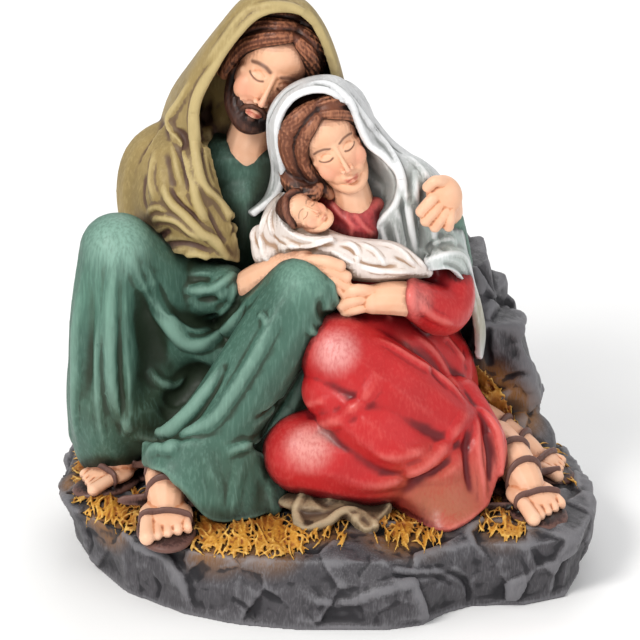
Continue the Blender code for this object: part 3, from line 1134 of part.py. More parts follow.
def ground_cloth():
    cloth(
        [
            [
                (-13.5, 26, -16), (-7.5, 27, -14), (0.5, 26, -16), (9, 24, -20), (16.5, 20, -26),
                (23, 15.5, -34),
            ],
            [
                (-11.5, 22, -24), (-6, 20, -24), (1.5, 20, -26), (9.5, 18.5, -28), (16.5, 15, -32),
                (21.5, 13, -37),
            ],
            [
                (-10.5, 15.5, -34), (-5, 14.5, -34), (2.5, 15, -34), (9, 14.5, -36), (15, 12, -38),
                (19, 10.5, -41),
            ],
            [
                (-10, 9, -44), (-5.5, 7, -47), (1.5, 10, -44), (7.5, 12.5, -41), (13.5, 7, -46),
                (18, 8, -45),
            ],
        ],
        thick=3.2,
    )
    ball((-1, 17, -32), (14, 8, 3))
    piece = fuse("ground_cloth", 3)
    push(piece, [
        ([(-10.5, 26), (-7, 20), (-9, 14), (-5.5, 7)], 2.2, 1.1),
        ([(-5.5, 8), (1.5, 10), (7.5, 14.5), (16.5, 12.5)], 2.2, 1.2),
        ([(-3.5, 21), (1, 16.5), (5.5, 17)], 3.0, -1.4),
        ([(9, 10.5), (13, 12.5), (18.5, 9)], 2.2, 0.9),
        ([(3.5, 23), (9.5, 20), (14.5, 17)], 2.4, 0.8),
    ], rounds=1)
    return piece


FORMS = (
    rock_base, ground_cloth, straw, father_tunic, father_mantle, mother_veil, mother_dress, child_wrap,
    father_hair, father_beard, mother_hair, child_hair, necks, feet, sandals, hands,
)


def keep_largest(mesh):
    """Only the outer skin, without bubbles left between the lumps."""
    bm = bmesh.new()
    bm.from_mesh(mesh)
    unseen = set(bm.verts)
    shells = []
    while unseen:
        shell = {unseen.pop()}
        front = list(shell)
        while front:
            for edge in front.pop().link_edges:
                for vert in edge.verts:
                    if vert in unseen:
                        unseen.remove(vert)
                        shell.add(vert)
                        front.append(vert)
        shells.append(shell)
    shells.sort(key=len)
    bmesh.ops.delete(bm, geom=[v for shell in shells[:-1] for v in shell], context="VERTS")
    bm.to_mesh(mesh)
    bm.free()


def flatten_underside(mesh):
    """Cuts the piece level at its underside and closes the cut with one flat face."""
    bm = bmesh.new()
    bm.from_mesh(mesh)
    everything = bm.verts[:] + bm.edges[:] + bm.faces[:]
    bmesh.ops.bisect_plane(
        bm, geom=everything, dist=1e-6, plane_co=(0, 0, 0), plane_no=(0, 0, -1), clear_outer=True
    )
    rim = [edge for edge in bm.edges if edge.is_boundary]
    for edge in rim:
        for vert in edge.verts:
            vert.co.z = 0.0
    bmesh.ops.triangle_fill(bm, edges=rim, use_beauty=True)
    bmesh.ops.recalc_face_normals(bm, faces=bm.faces[:])
    bm.to_mesh(mesh)
    bm.free()


def centre_on_underside(mesh):
    """Moves the piece so that the middle of its width and depth is at the origin."""
    places = np.array([vert.co for vert in mesh.vertices])
    middle = (places.min(axis=0) + places.max(axis=0)) / 2
    mesh.transform(Matrix.Translation((-middle[0], -middle[1], 0)))


def painted_resin():
    resin = bpy.data.materials.new("painted_resin")
    resin.use_nodes = True
    shader = resin.node_tree.nodes["Principled BSDF"]
    shader.inputs["Base Color"].default_value = (0.20, 0.15, 0.12, 1.0)
    shader.inputs["Roughness"].default_value = 0.55
    return resin


def statue():
    pieces = [form() for form in FORMS] + [head(who) for who in FACES]
    lumps.extend(pieces)
    whole = fuse("holy_family_statue", 1, LAST_GRAIN)
    keep_largest(whole.data)
    faces = sum(len(face.vertices) - 2 for face in whole.data.polygons)
    thin = whole.modifiers.new("thin", "DECIMATE")
    thin.ratio = MOST_TRIANGLES / faces
    thin.use_collapse_triangulate = True
    bpy.ops.object.modifier_apply(modifier="thin")
    flatten_underside(whole.data)
    centre_on_underside(whole.data)
    whole.data.materials.clear()
    whole.data.materials.append(painted_resin())
    return whole


statue()
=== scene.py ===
import json
import math

import bmesh
import bpy
import numpy as np
from mathutils import Euler, Matrix, Vector, noise
from mathutils.bvhtree import BVHTree
from mathutils.kdtree import KDTree

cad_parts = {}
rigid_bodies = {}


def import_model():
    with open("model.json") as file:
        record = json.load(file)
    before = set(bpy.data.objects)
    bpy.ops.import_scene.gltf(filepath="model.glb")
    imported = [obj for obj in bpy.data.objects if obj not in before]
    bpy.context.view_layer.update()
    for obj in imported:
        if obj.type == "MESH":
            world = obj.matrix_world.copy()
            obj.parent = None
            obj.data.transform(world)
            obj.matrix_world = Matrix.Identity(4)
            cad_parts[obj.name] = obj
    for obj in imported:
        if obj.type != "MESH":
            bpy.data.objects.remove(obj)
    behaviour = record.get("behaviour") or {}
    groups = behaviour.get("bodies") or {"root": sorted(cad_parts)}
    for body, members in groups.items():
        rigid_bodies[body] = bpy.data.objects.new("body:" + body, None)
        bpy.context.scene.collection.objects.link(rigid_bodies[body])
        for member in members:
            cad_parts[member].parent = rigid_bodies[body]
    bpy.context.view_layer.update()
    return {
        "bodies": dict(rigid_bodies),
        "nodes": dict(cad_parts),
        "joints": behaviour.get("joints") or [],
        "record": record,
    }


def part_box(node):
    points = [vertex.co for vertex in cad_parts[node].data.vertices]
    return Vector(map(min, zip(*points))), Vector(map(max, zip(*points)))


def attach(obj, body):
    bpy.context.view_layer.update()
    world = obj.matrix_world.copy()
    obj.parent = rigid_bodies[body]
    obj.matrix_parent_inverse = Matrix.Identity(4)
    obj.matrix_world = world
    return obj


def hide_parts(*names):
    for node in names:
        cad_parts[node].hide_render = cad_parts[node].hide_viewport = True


# Looks of a cast, hand-painted resin family group: each painted part of the casting is a piece of its own,
# built up like clay from eggs, rolls and sheets, with the folds raised or pressed in afterwards.
# Places are read off a front drawing that looks down on the group, in drawing millimetres: across,
# up the drawing, and back.

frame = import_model()
SOLID = "holy_family_statue"

# Sizes in metres, turns in degrees
BASE_THICKNESS = 0.026
TILT = math.radians(22)
SIN_T, COS_T = math.sin(TILT), math.cos(TILT)
SIGHT = Vector((0, COS_T, -SIN_T))
GROUND = Vector((0, 0, BASE_THICKNESS))
MIDDLE = Vector((0.0004, 0.0022, 0))
THINNEST_ROLL = 0.0001
THINNEST_STRAND = 0.00005

# Sizes in drawing millimetres: where sight lines start, what the base's foot keeps plain, how soft the
# chips' edges are, and the cubes that each piece is fused from
DRAWN_GROUND = 26.0
DRAWN_GROUP_HEIGHT = 169.5
UNIT = (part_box(SOLID)[1].z - BASE_THICKNESS) / DRAWN_GROUP_HEIGHT
WELL_BEFORE = -200
BARE_FOOT = 1.5
CHIP_BLEND = 0.5
GRAINS = dict(
    rock=0.8, father_tunic=0.8, father_mantle=0.8, mother_dress=0.8, mother_veil=0.6, necks=0.6,
    ground_cloth=0.6, feet=0.5, sandals=0.5, child_wrap=0.45, hands=0.45, father_hair=0.38,
    mother_hair=0.38, father_beard=0.34, straw=0.34, child_hair=0.30, father_head=0.33,
    mother_head=0.30, child_head=0.22,
)

# Shares, counts, and a distance in the units of a frame
STONE_CUTS = 9
STRAND_REACH = 0.9
BEFORE_FRAME = -3
ASKEW = np.array([0.31, -0.22, 0.92])

lumps = []


def at(point, frame=None):
    """The place in the model of a drawing point, or of a point given in a frame."""
    if frame is not None:
        return frame @ Vector(point)
    x, h, y = point
    return Vector((x, y, (h - y * SIN_T) / COS_T - DRAWN_GROUND)) * UNIT + GROUND - MIDDLE


def spot(x, y, z):
    """The drawing point of a place given as right, back and above the underside, in drawing millimetres."""
    return (x, z * COS_T + y * SIN_T, y)


def scale_of(frame):
    return UNIT if frame is None else frame.to_scale()[0]


def frame_at(centre, size, lean=0, heading=0, nod=0, shift=(0, 0, 0)):
    """A frame whose unit is size drawing millimetres, leant right, turned right and nodded by degrees."""
    return (
        Matrix.Translation(at(centre))
        @ Matrix.Rotation(math.radians(lean), 4, "Y")
        @ Matrix.Rotation(math.radians(heading), 4, "Z")
        @ Matrix.Rotation(math.radians(nod), 4, "X")
        @ Matrix.Scale(size * UNIT, 4)
        @ Matrix.Translation(shift)
    )


def smooth_path(points, steps):
    """Rows of numbers along a Catmull-Rom curve through the given rows."""
    p = np.array(points, float)
    if len(p) == 2:
        t = np.linspace(0, 1, steps + 1)[:, None]
        return p[0] * (1 - t) + p[1] * t
    p = np.vstack([2 * p[0] - p[1], p, 2 * p[-1] - p[-2]])
    rows = []
    for i in range(1, len(p) - 2):
        for t in np.linspace(0, 1, steps, endpoint=False):
            a, b, c, d = p[i - 1 : i + 3]
            bend = (2 * a - 5 * b + 4 * c - d) * t**2
            twist = (3 * b - a - 3 * c + d) * t**3
            rows.append(0.5 * (2 * b + (c - a) * t + bend + twist))
    rows.append(p[-2])
    return np.array(rows)


def mirrored(half, middle=()):
    """A path across the face: its right half, what stands in the middle, and the left half in turn."""
    return half + list(middle) + [(-x, y, z) for x, y, z in reversed(half)]


# Clay
def lay(name, data):
    """Puts new clay among the lumps that the next fuse takes up."""
    lump = bpy.data.objects.new(name, data)
    bpy.context.collection.objects.link(lump)
    lumps.append(lump)
    return lump


def ball(centre, radii, turn=(0, 0, 0), frame=None):
    """An egg of clay: radii across, back and up, turned by degrees about X, Y and Z."""
    bpy.ops.mesh.primitive_uv_sphere_add(segments=28, ring_count=18, radius=1)
    turned = Euler([math.radians(a) for a in turn])
    if frame is None:
        place = Matrix.LocRotScale(at(centre), turned, Vector(radii) * UNIT)
    else:
        place = frame @ Matrix.LocRotScale(Vector(centre), turned, Vector(radii))
    bpy.context.object.data.transform(place)
    lumps.append(bpy.context.object)


def wires(paths, roundness, thinnest):
    """Round wires as one lump: each path is rows of three numbers in the model and a radius."""
    curve = bpy.data.curves.new("wires", "CURVE")
    curve.dimensions = "3D"
    curve.bevel_depth = 1.0
    curve.bevel_resolution = roundness
    curve.use_fill_caps = True
    for rows in paths:
        spline = curve.splines.new("POLY")
        spline.points.add(len(rows) - 1)
        for point, row in zip(spline.points, rows):
            point.co = (*row[:3], 1)
            point.radius = max(row[3], thinnest)
    lay("wires", curve)


def roll(path, radii, frame=None):
    """A round roll of clay along a curve through the points, with one radius or a radius at each."""
    radii = [radii] * len(path) if isinstance(radii, (int, float)) else radii
    unit = scale_of(frame)
    rows = smooth_path([(*at(p, frame), r * unit) for p, r in zip(path, radii)], 6)
    wires([rows], 4, THINNEST_ROLL)
    for row in (rows[0], rows[-1]):
        size = max(row[3], THINNEST_ROLL)
        bpy.ops.mesh.primitive_uv_sphere_add(segments=16, ring_count=10, radius=size, location=row[:3])
        lumps.append(bpy.context.object)


def strands(paths):
    """Fine tapering blades as one lump: each path is rows of three numbers in the model and a radius."""
    wires([smooth_path(path, 4) for path in paths], 1, THINNEST_STRAND)


def lock(path, radii, frame, count, thick, twist):
    """A roll of hair with that many strands laid along it, thick by themselves and twisted round it."""
    roll(path, radii, frame)
    unit = scale_of(frame)
    rows = smooth_path([(*at(p, frame), r * unit) for p, r in zip(path, radii)], 5)
    ahead = np.gradient(rows[:, :3], axis=0)
    ahead /= np.linalg.norm(ahead, axis=1)[:, None]
    side = np.cross(ahead, ASKEW)
    side /= np.linalg.norm(side, axis=1)[:, None]
    up = np.cross(side, ahead)
    blades = []
    for k in range(count):
        turn = 2 * math.pi * k / count + np.linspace(0, twist, len(rows))
        out = side * np.cos(turn)[:, None] + up * np.sin(turn)[:, None]
        place = rows[:, :3] + out * (rows[:, 3:] * STRAND_REACH)
        size = np.full((len(rows), 1), thick * unit)
        size[[0, -1]] *= 0.5
        blades.append(np.hstack([place, size]).tolist())
    wires(blades, 1, THINNEST_STRAND)


def cloth(rows, thick):
    """A sheet of clay through rows of points, each row with as many points."""
    grid = np.array([[tuple(at(p)) for p in row] for row in rows])
    along = np.array([smooth_path(row, 5) for row in grid])
    full = np.array([smooth_path(along[:, j], 5) for j in range(along.shape[1])])
    full = full.transpose(1, 0, 2)
    nx, ny = full.shape[:2]
    mesh = bpy.data.meshes.new("cloth")
    corners = [i * ny + j for i in range(nx - 1) for j in range(ny - 1)]
    faces = [(c, c + ny, c + ny + 1, c + 1) for c in corners]
    mesh.from_pydata(full.reshape(-1, 3).tolist(), [], faces)
    solid = lay("cloth", mesh).modifiers.new("thick", "SOLIDIFY")
    solid.thickness = thick * UNIT
    solid.offset = 0


def arrays(piece):
    """The places and the normals of a piece's points."""
    mesh = piece.data
    co = np.empty(len(mesh.vertices) * 3, np.float32)
    mesh.vertices.foreach_get("co", co)
    no = np.empty(len(mesh.vertices) * 3, np.float32)
    mesh.vertex_normals.foreach_get("vector", no)
    return co.reshape(-1, 3).astype(float), no.reshape(-1, 3).astype(float)


def put(piece, co):
    """Moves a piece's points to those places."""
    piece.data.vertices.foreach_set("co", co.astype(np.float32).ravel())
    piece.data.update()


def stone(centre, radii, seed, turn):
    """A block of rock: a ball planed by six slanting faces and cut off at its edges."""
    rng = np.random.default_rng(seed)
    normals = np.vstack([np.eye(3), -np.eye(3), rng.normal(size=(STONE_CUTS, 3))])
    normals[:6] += rng.normal(0, 0.16, (6, 3))
    normals /= np.linalg.norm(normals, axis=1)[:, None]
    depth = np.concatenate([rng.uniform(0.88, 1.0, 6), rng.uniform(0.98, 1.2, STONE_CUTS)])
    bpy.ops.mesh.primitive_ico_sphere_add(subdivisions=5, radius=1)
    lump = bpy.context.object
    co, _ = arrays(lump)
    co /= np.linalg.norm(co, axis=1)[:, None]
    reach = np.min(depth / np.maximum(co @ normals.T, 0.05), axis=1)
    put(lump, co * reach[:, None])
    turned = Euler((0, 0, math.radians(turn)))
    lump.data.transform(Matrix.LocRotScale(at(spot(*centre)), turned, Vector(radii) * UNIT))
    lumps.append(lump)


def relax(piece, rounds, factor=0.5):
    """Smooths a skin by that many rounds."""
    if rounds:
        calm = piece.modifiers.new("calm", "SMOOTH")
        calm.factor = factor
        calm.iterations = rounds
        bpy.context.view_layer.objects.active = piece
        bpy.ops.object.modifier_apply(modifier="calm")


def fuse(name, rounds):
    """The lumps laid down since the last fuse, as one skin with its seams smoothed by that many rounds."""
    bpy.ops.object.select_all(action="DESELECT")
    for lump in lumps:
        lump.select_set(True)
    bpy.context.view_layer.objects.active = lumps[0]
    bpy.ops.object.convert(target="MESH")
    bpy.ops.object.join()
    lumps.clear()
    piece = bpy.context.object
    bpy.ops.object.transform_apply(location=True, rotation=True, scale=True)
    skin = piece.modifiers.new("skin", "REMESH")
    skin.mode = "VOXEL"
    skin.voxel_size = GRAINS[name] * UNIT
    bpy.ops.object.modifier_apply(modifier="skin")
    relax(piece, rounds)
    piece.name = name
    piece.data.name = name
    piece.data.shade_smooth()
    return piece


# Folds, chips and roughness
def skin_of(piece):
    return BVHTree.FromObject(piece, bpy.context.evaluated_depsgraph_get())


def seen(skin, across, up, frame=None):
    """The spot of a skin that is seen at a place of the drawing, or from before a frame."""
    if frame is None:
        return skin.ray_cast(at((across, up, WELL_BEFORE)), SIGHT)[0]
    ahead = (frame.to_3x3() @ Vector((0, 1, 0))).normalized()
    return skin.ray_cast(frame @ Vector((across, BEFORE_FRAME, up)), ahead)[0]


def laid(skin, path, frame=None, steps=6):
    """A path on a skin: points of two numbers go where they are seen, of three to the nearest spot."""
    found = []
    for row in smooth_path(path, steps):
        hit = skin.find_nearest(at(row, frame))[0] if len(row) == 3 else seen(skin, *row, frame)
        if hit is not None:
            found.append(tuple(hit))
    return np.array(found)


def off_line(co, a, b):
    """How far along the line from a to b each place lies, from 0 to 1, and how far off the line."""
    ab = b - a
    t = np.clip(((co - a) @ ab) / max(ab @ ab, 1e-12), 0, 1)
    return t, np.linalg.norm(co - a - t[:, None] * ab, axis=1)


def push(piece, folds, rounds=1, taper=0.25, frame=None):
    """Raises ridges and presses grooves along the folds: each is a path, a half width and a height."""
    skin = skin_of(piece)
    co, no = arrays(piece)
    move = np.zeros(len(co))
    unit = scale_of(frame)
    for path, width, height in folds:
        line = laid(skin, path, frame)
        if len(line) < 2:
            continue
        width, height = width * unit, height * unit
        low, high = line.min(0) - width, line.max(0) + width
        near = np.flatnonzero(((co > low) & (co < high)).all(1))
        best = np.full(len(near), np.inf)
        share = np.zeros(len(near))
        lengths = np.linalg.norm(np.diff(line, axis=0), axis=1)
        run = np.concatenate([[0], np.cumsum(lengths)])
        for i, (a, b) in enumerate(zip(line, line[1:])):
            t, d = off_line(co[near], a, b)
            closer = d < best
            best[closer] = d[closer]
            share[closer] = ((run[i] + t * lengths[i]) / max(run[-1], 1e-9))[closer]
        fall = np.clip(1 - (best / width) ** 2, 0, 1) ** 2
        fall *= np.clip(np.minimum(share, 1 - share) / taper, 0, 1) ** 0.7
        move[near] += height * fall
    put(piece, co + no * move[:, None])
    relax(piece, rounds)


def above_foot(co, ease):
    """Nothing at the bare foot of the base, and one from that many drawing millimetres above it."""
    return np.clip((co[:, 2] - BARE_FOOT * UNIT) / (ease * UNIT), 0, 1)


def chip(piece, size, depth, seed):
    """Flat chips struck off a skin: each patch of that size is tilted its own way."""
    co, no = arrays(piece)
    rng = np.random.default_rng(seed)
    low, high = co.min(0), co.max(0)
    count = int(np.prod((high - low) / (size * UNIT)))
    seeds = rng.uniform(low, high, (count, 3))
    tilt = rng.normal(size=(count, 3))
    tilt *= 1.5 * depth / size / np.linalg.norm(tilt, axis=1)[:, None]
    raised = rng.uniform(-0.25, 0.25, count) * depth * UNIT
    tree = KDTree(count)
    for i, place in enumerate(seeds):
        tree.insert(place, i)
    tree.balance()
    pairs = [tree.find_n(p, 2) for p in co]
    first, second = (np.array([pair[k][1] for pair in pairs]) for k in (0, 1))
    gap = np.array([pair[1][2] - pair[0][2] for pair in pairs]) / (2 * CHIP_BLEND * UNIT)
    share = np.clip(0.5 + gap, 0.5, 1)
    lifts = [((co - seeds[i]) * tilt[i]).sum(1) + raised[i] for i in (first, second)]
    lift = (share * lifts[0] + (1 - share) * lifts[1]) * above_foot(co, 2)
    put(piece, co + no * lift[:, None])


def roughen(piece, height, size, seed):
    """Uneven skin: swells of that height and size."""
    co, no = arrays(piece)
    start = Vector((seed, seed, seed))
    lift = np.array([noise.noise(Vector(p) / (size * UNIT) + start) for p in co]) * above_foot(co, 3)
    put(piece, co + no * (lift * height * UNIT)[:, None])


# The rock, the straw and the cloth on the ground
FOOT, WAIST, RIM, TOP = 0, 12.5, 22.5, 26
TOP_INSET = 9

# Corners of the base: across, back, and the share of the outline's reach at the rim and at the foot
SLAB = [
    (-84, 2, 1.07, 0.97), (-80, -17, 1.06, 0.95), (-66, -37, 1.01, 0.99), (-46, -54, 0.97, 1.00),
    (-28, -62, 0.96, 1.01), (-8, -65, 0.95, 1.03), (20, -66, 0.94, 1.02),
    (33, -63, 0.93, 1.0), (41, -55, 0.95, 0.98), (51, -49, 0.97, 0.97), (68, -48, 1.0, 0.98),
    (82, -41, 1.03, 0.98), (89, -22, 1.01, 0.96), (88, 0, 1.02, 0.97),
    (86, 24, 1.0, 0.97), (78, 44, 0.98, 0.98), (56, 58, 0.97, 1.0), (26, 64, 0.96, 1.0),
    (-10, 64, 0.96, 1.0), (-42, 60, 0.97, 0.98), (-66, 47, 1.0, 0.97), (-82, 25, 1.05, 0.96),
]


def slab():
    """The ground under the group: each corner of the outline has its own share at the rim and the foot."""
    bm = bmesh.new()
    rings = []
    for level in (FOOT, WAIST, RIM, TOP):
        ring = []
        for x, y, rim, foot in SLAB:
            r = math.hypot(x, y)
            share = {FOOT: foot, WAIST: 1.0, RIM: rim, TOP: (r * rim - TOP_INSET) / r}[level]
            ring.append(bm.verts.new(Vector((x * share, y * share, level)) * UNIT - MIDDLE))
        rings.append(ring)
    for low, high in zip(rings, rings[1:]):
        for k in range(len(SLAB)):
            j = (k + 1) % len(SLAB)
            bm.faces.new((low[k], low[j], high[j]))
            bm.faces.new((low[k], high[j], high[k]))
    bm.faces.new(list(reversed(rings[0])))
    bm.faces.new(rings[-1])
    mesh = bpy.data.meshes.new("slab")
    bm.to_mesh(mesh)
    lay("slab", mesh)


# Stones: the middle, the radii, the random seed and the turn
STONES = [
    ((46, 44, 82), (11, 14, 9.5), 3, 8), ((49, 42, 71), (11, 14, 8), 5, -6),
    ((57, 38, 58), (13, 15, 15), 8, 10), ((60, 38, 36), (12, 15, 11), 12, -8),
    ((24, 52, 62), (22, 12, 34), 24, 0), ((-4, 56, 50), (26, 10, 34), 28, 8),
    ((-36, 56, 38), (24, 11, 22), 33, -6), ((-62, 40, 26), (18, 16, 11), 37, 20),
    ((4, 34, 24), (66, 30, 10), 45, 0),
]


def rock_base():
    slab()
    for centre, radii, seed, turn in STONES:
        stone(centre, radii, seed, turn)
    ball(spot(66, 24, 27), (14, 18, 12), (0, 8, 0))
    ball(spot(-76, 16, 24), (11, 13, 9), (0, -8, 0))
    piece = fuse("rock", 1)
    chip(piece, 20, 1.5, 5)
    chip(piece, 9, 0.3, 8)
    push(piece, [
        ([(36.5, -3.5), (42.5, -6), (47, -9), (48.5, -13.5), (47.5, -19.5), (48.5, -24)], 1.8, -1.5),
        ([(19, -1.5), (23, -5), (32.5, -6), (42.5, -5), (47.5, -8.5)], 1.7, 1.1),
        ([(20.5, -3.5), (25.5, -7), (36.5, -7), (43, -10)], 1.4, -0.9),
        ([(-7.5, -13.5), (5.5, -16), (23, -11), (39, -7)], 2.4, 1.0),
        ([(-30.5, -14), (-25, -18), (-21.5, -23)], 1.4, -0.8),
        ([(-57.5, -7), (-54.5, -11), (-55.5, -16)], 1.4, -0.8),
        ([(-81, 10), (-77.5, 3), (-78.5, -2)], 1.4, -0.8),
        ([(65.5, -1), (68, -8.5), (66, -15.5)], 1.4, -0.8),
        ([(56.5, 75.5), (55, 69), (56.5, 61)], 2.2, -1.8),
        ([(54.5, 86.5), (59, 84), (65.5, 82)], 1.8, -1.4),
        ([(59.5, 56), (65.5, 58.5), (71.5, 58)], 1.8, -1.2),
    ])
    roughen(piece, 0.9, 11, 3.0)
    roughen(piece, 0.3, 3.0, 9.0)
    return piece


# Straw: two corners at one end of a patch, two at the other, and a count of blades
STRAW = [
    ([(-73.5, 34.5), (-77, 17), (-83.5, 33), (-82.5, 14.5)], 90),
    ([(-77, 19), (-60.5, 12.5), (-80.5, 10.5), (-63.5, 6)], 90),
    ([(-63, 22), (-57.5, 18), (-63, 10.5), (-59, 8)], 24),
    ([(-45.5, 12), (-24.5, 10.5), (-43.5, 1), (-24.5, -1)], 130),
    ([(-25.5, 11), (-9, 10), (-21.5, -1), (-5.5, 0.5)], 120),
    ([(16.5, 16), (37, 17), (17.5, 3), (39.5, 2.5)], 150),
    ([(-8.5, 10), (7.5, 10), (-7.5, 2), (7.5, 2)], 30),
    ([(53.5, 21), (66.5, 18), (50.5, 6), (67.5, 4)], 100),
    ([(50.5, 60), (59, 53), (54.5, 49), (67, 38)], 130),
    ([(74, 34), (79, 24.5), (79.5, 33), (84, 22)], 24),
]
STRAW_THICKNESS = 0.34
STRAW_HALF_LENGTHS = (1.8, 4.4)
STRAW_DEPTH = 1.2
STRAW_STRAY = 0.6
STRAW_BEND = 0.9


def straw():
    """Tufts of straw on the rock: bent blades strewn over each patch, most of them along it."""
    rng = np.random.default_rng(7)
    skin = skin_of(bpy.data.objects["rock"])
    blades = []
    for corners, count in STRAW:
        a, b, c, d = np.array(corners, float)
        for _ in range(count):
            s, t = rng.uniform(0, 1, 2)
            middle = (a + (b - a) * s) * (1 - t) + (c + (d - c) * s) * t
            along = (c - a) * (1 - s) + (d - b) * s
            turn = math.atan2(along[1], along[0]) + rng.normal(0, STRAW_STRAY)
            along = np.array((math.cos(turn), math.sin(turn)))
            bend = np.array((-along[1], along[0])) * rng.normal(0, STRAW_BEND)
            half = rng.uniform(*STRAW_HALF_LENGTHS)
            layer = rng.uniform(0.0, STRAW_DEPTH)
            rows = []
            for k, lift, r in ((-1, 0.0, 0.8), (0, 1.0, 1.1), (1, 0.2, 0.3)):
                hit = seen(skin, *(middle + along * half * k + bend * lift))
                if hit is not None:
                    raised = hit + Vector((0, 0, (layer + lift * 0.6) * UNIT))
                    rows.append((*raised, STRAW_THICKNESS * r * UNIT))
            if len(rows) == 3:
                blades.append(rows)
    strands(blades)
    return fuse("straw", 0)


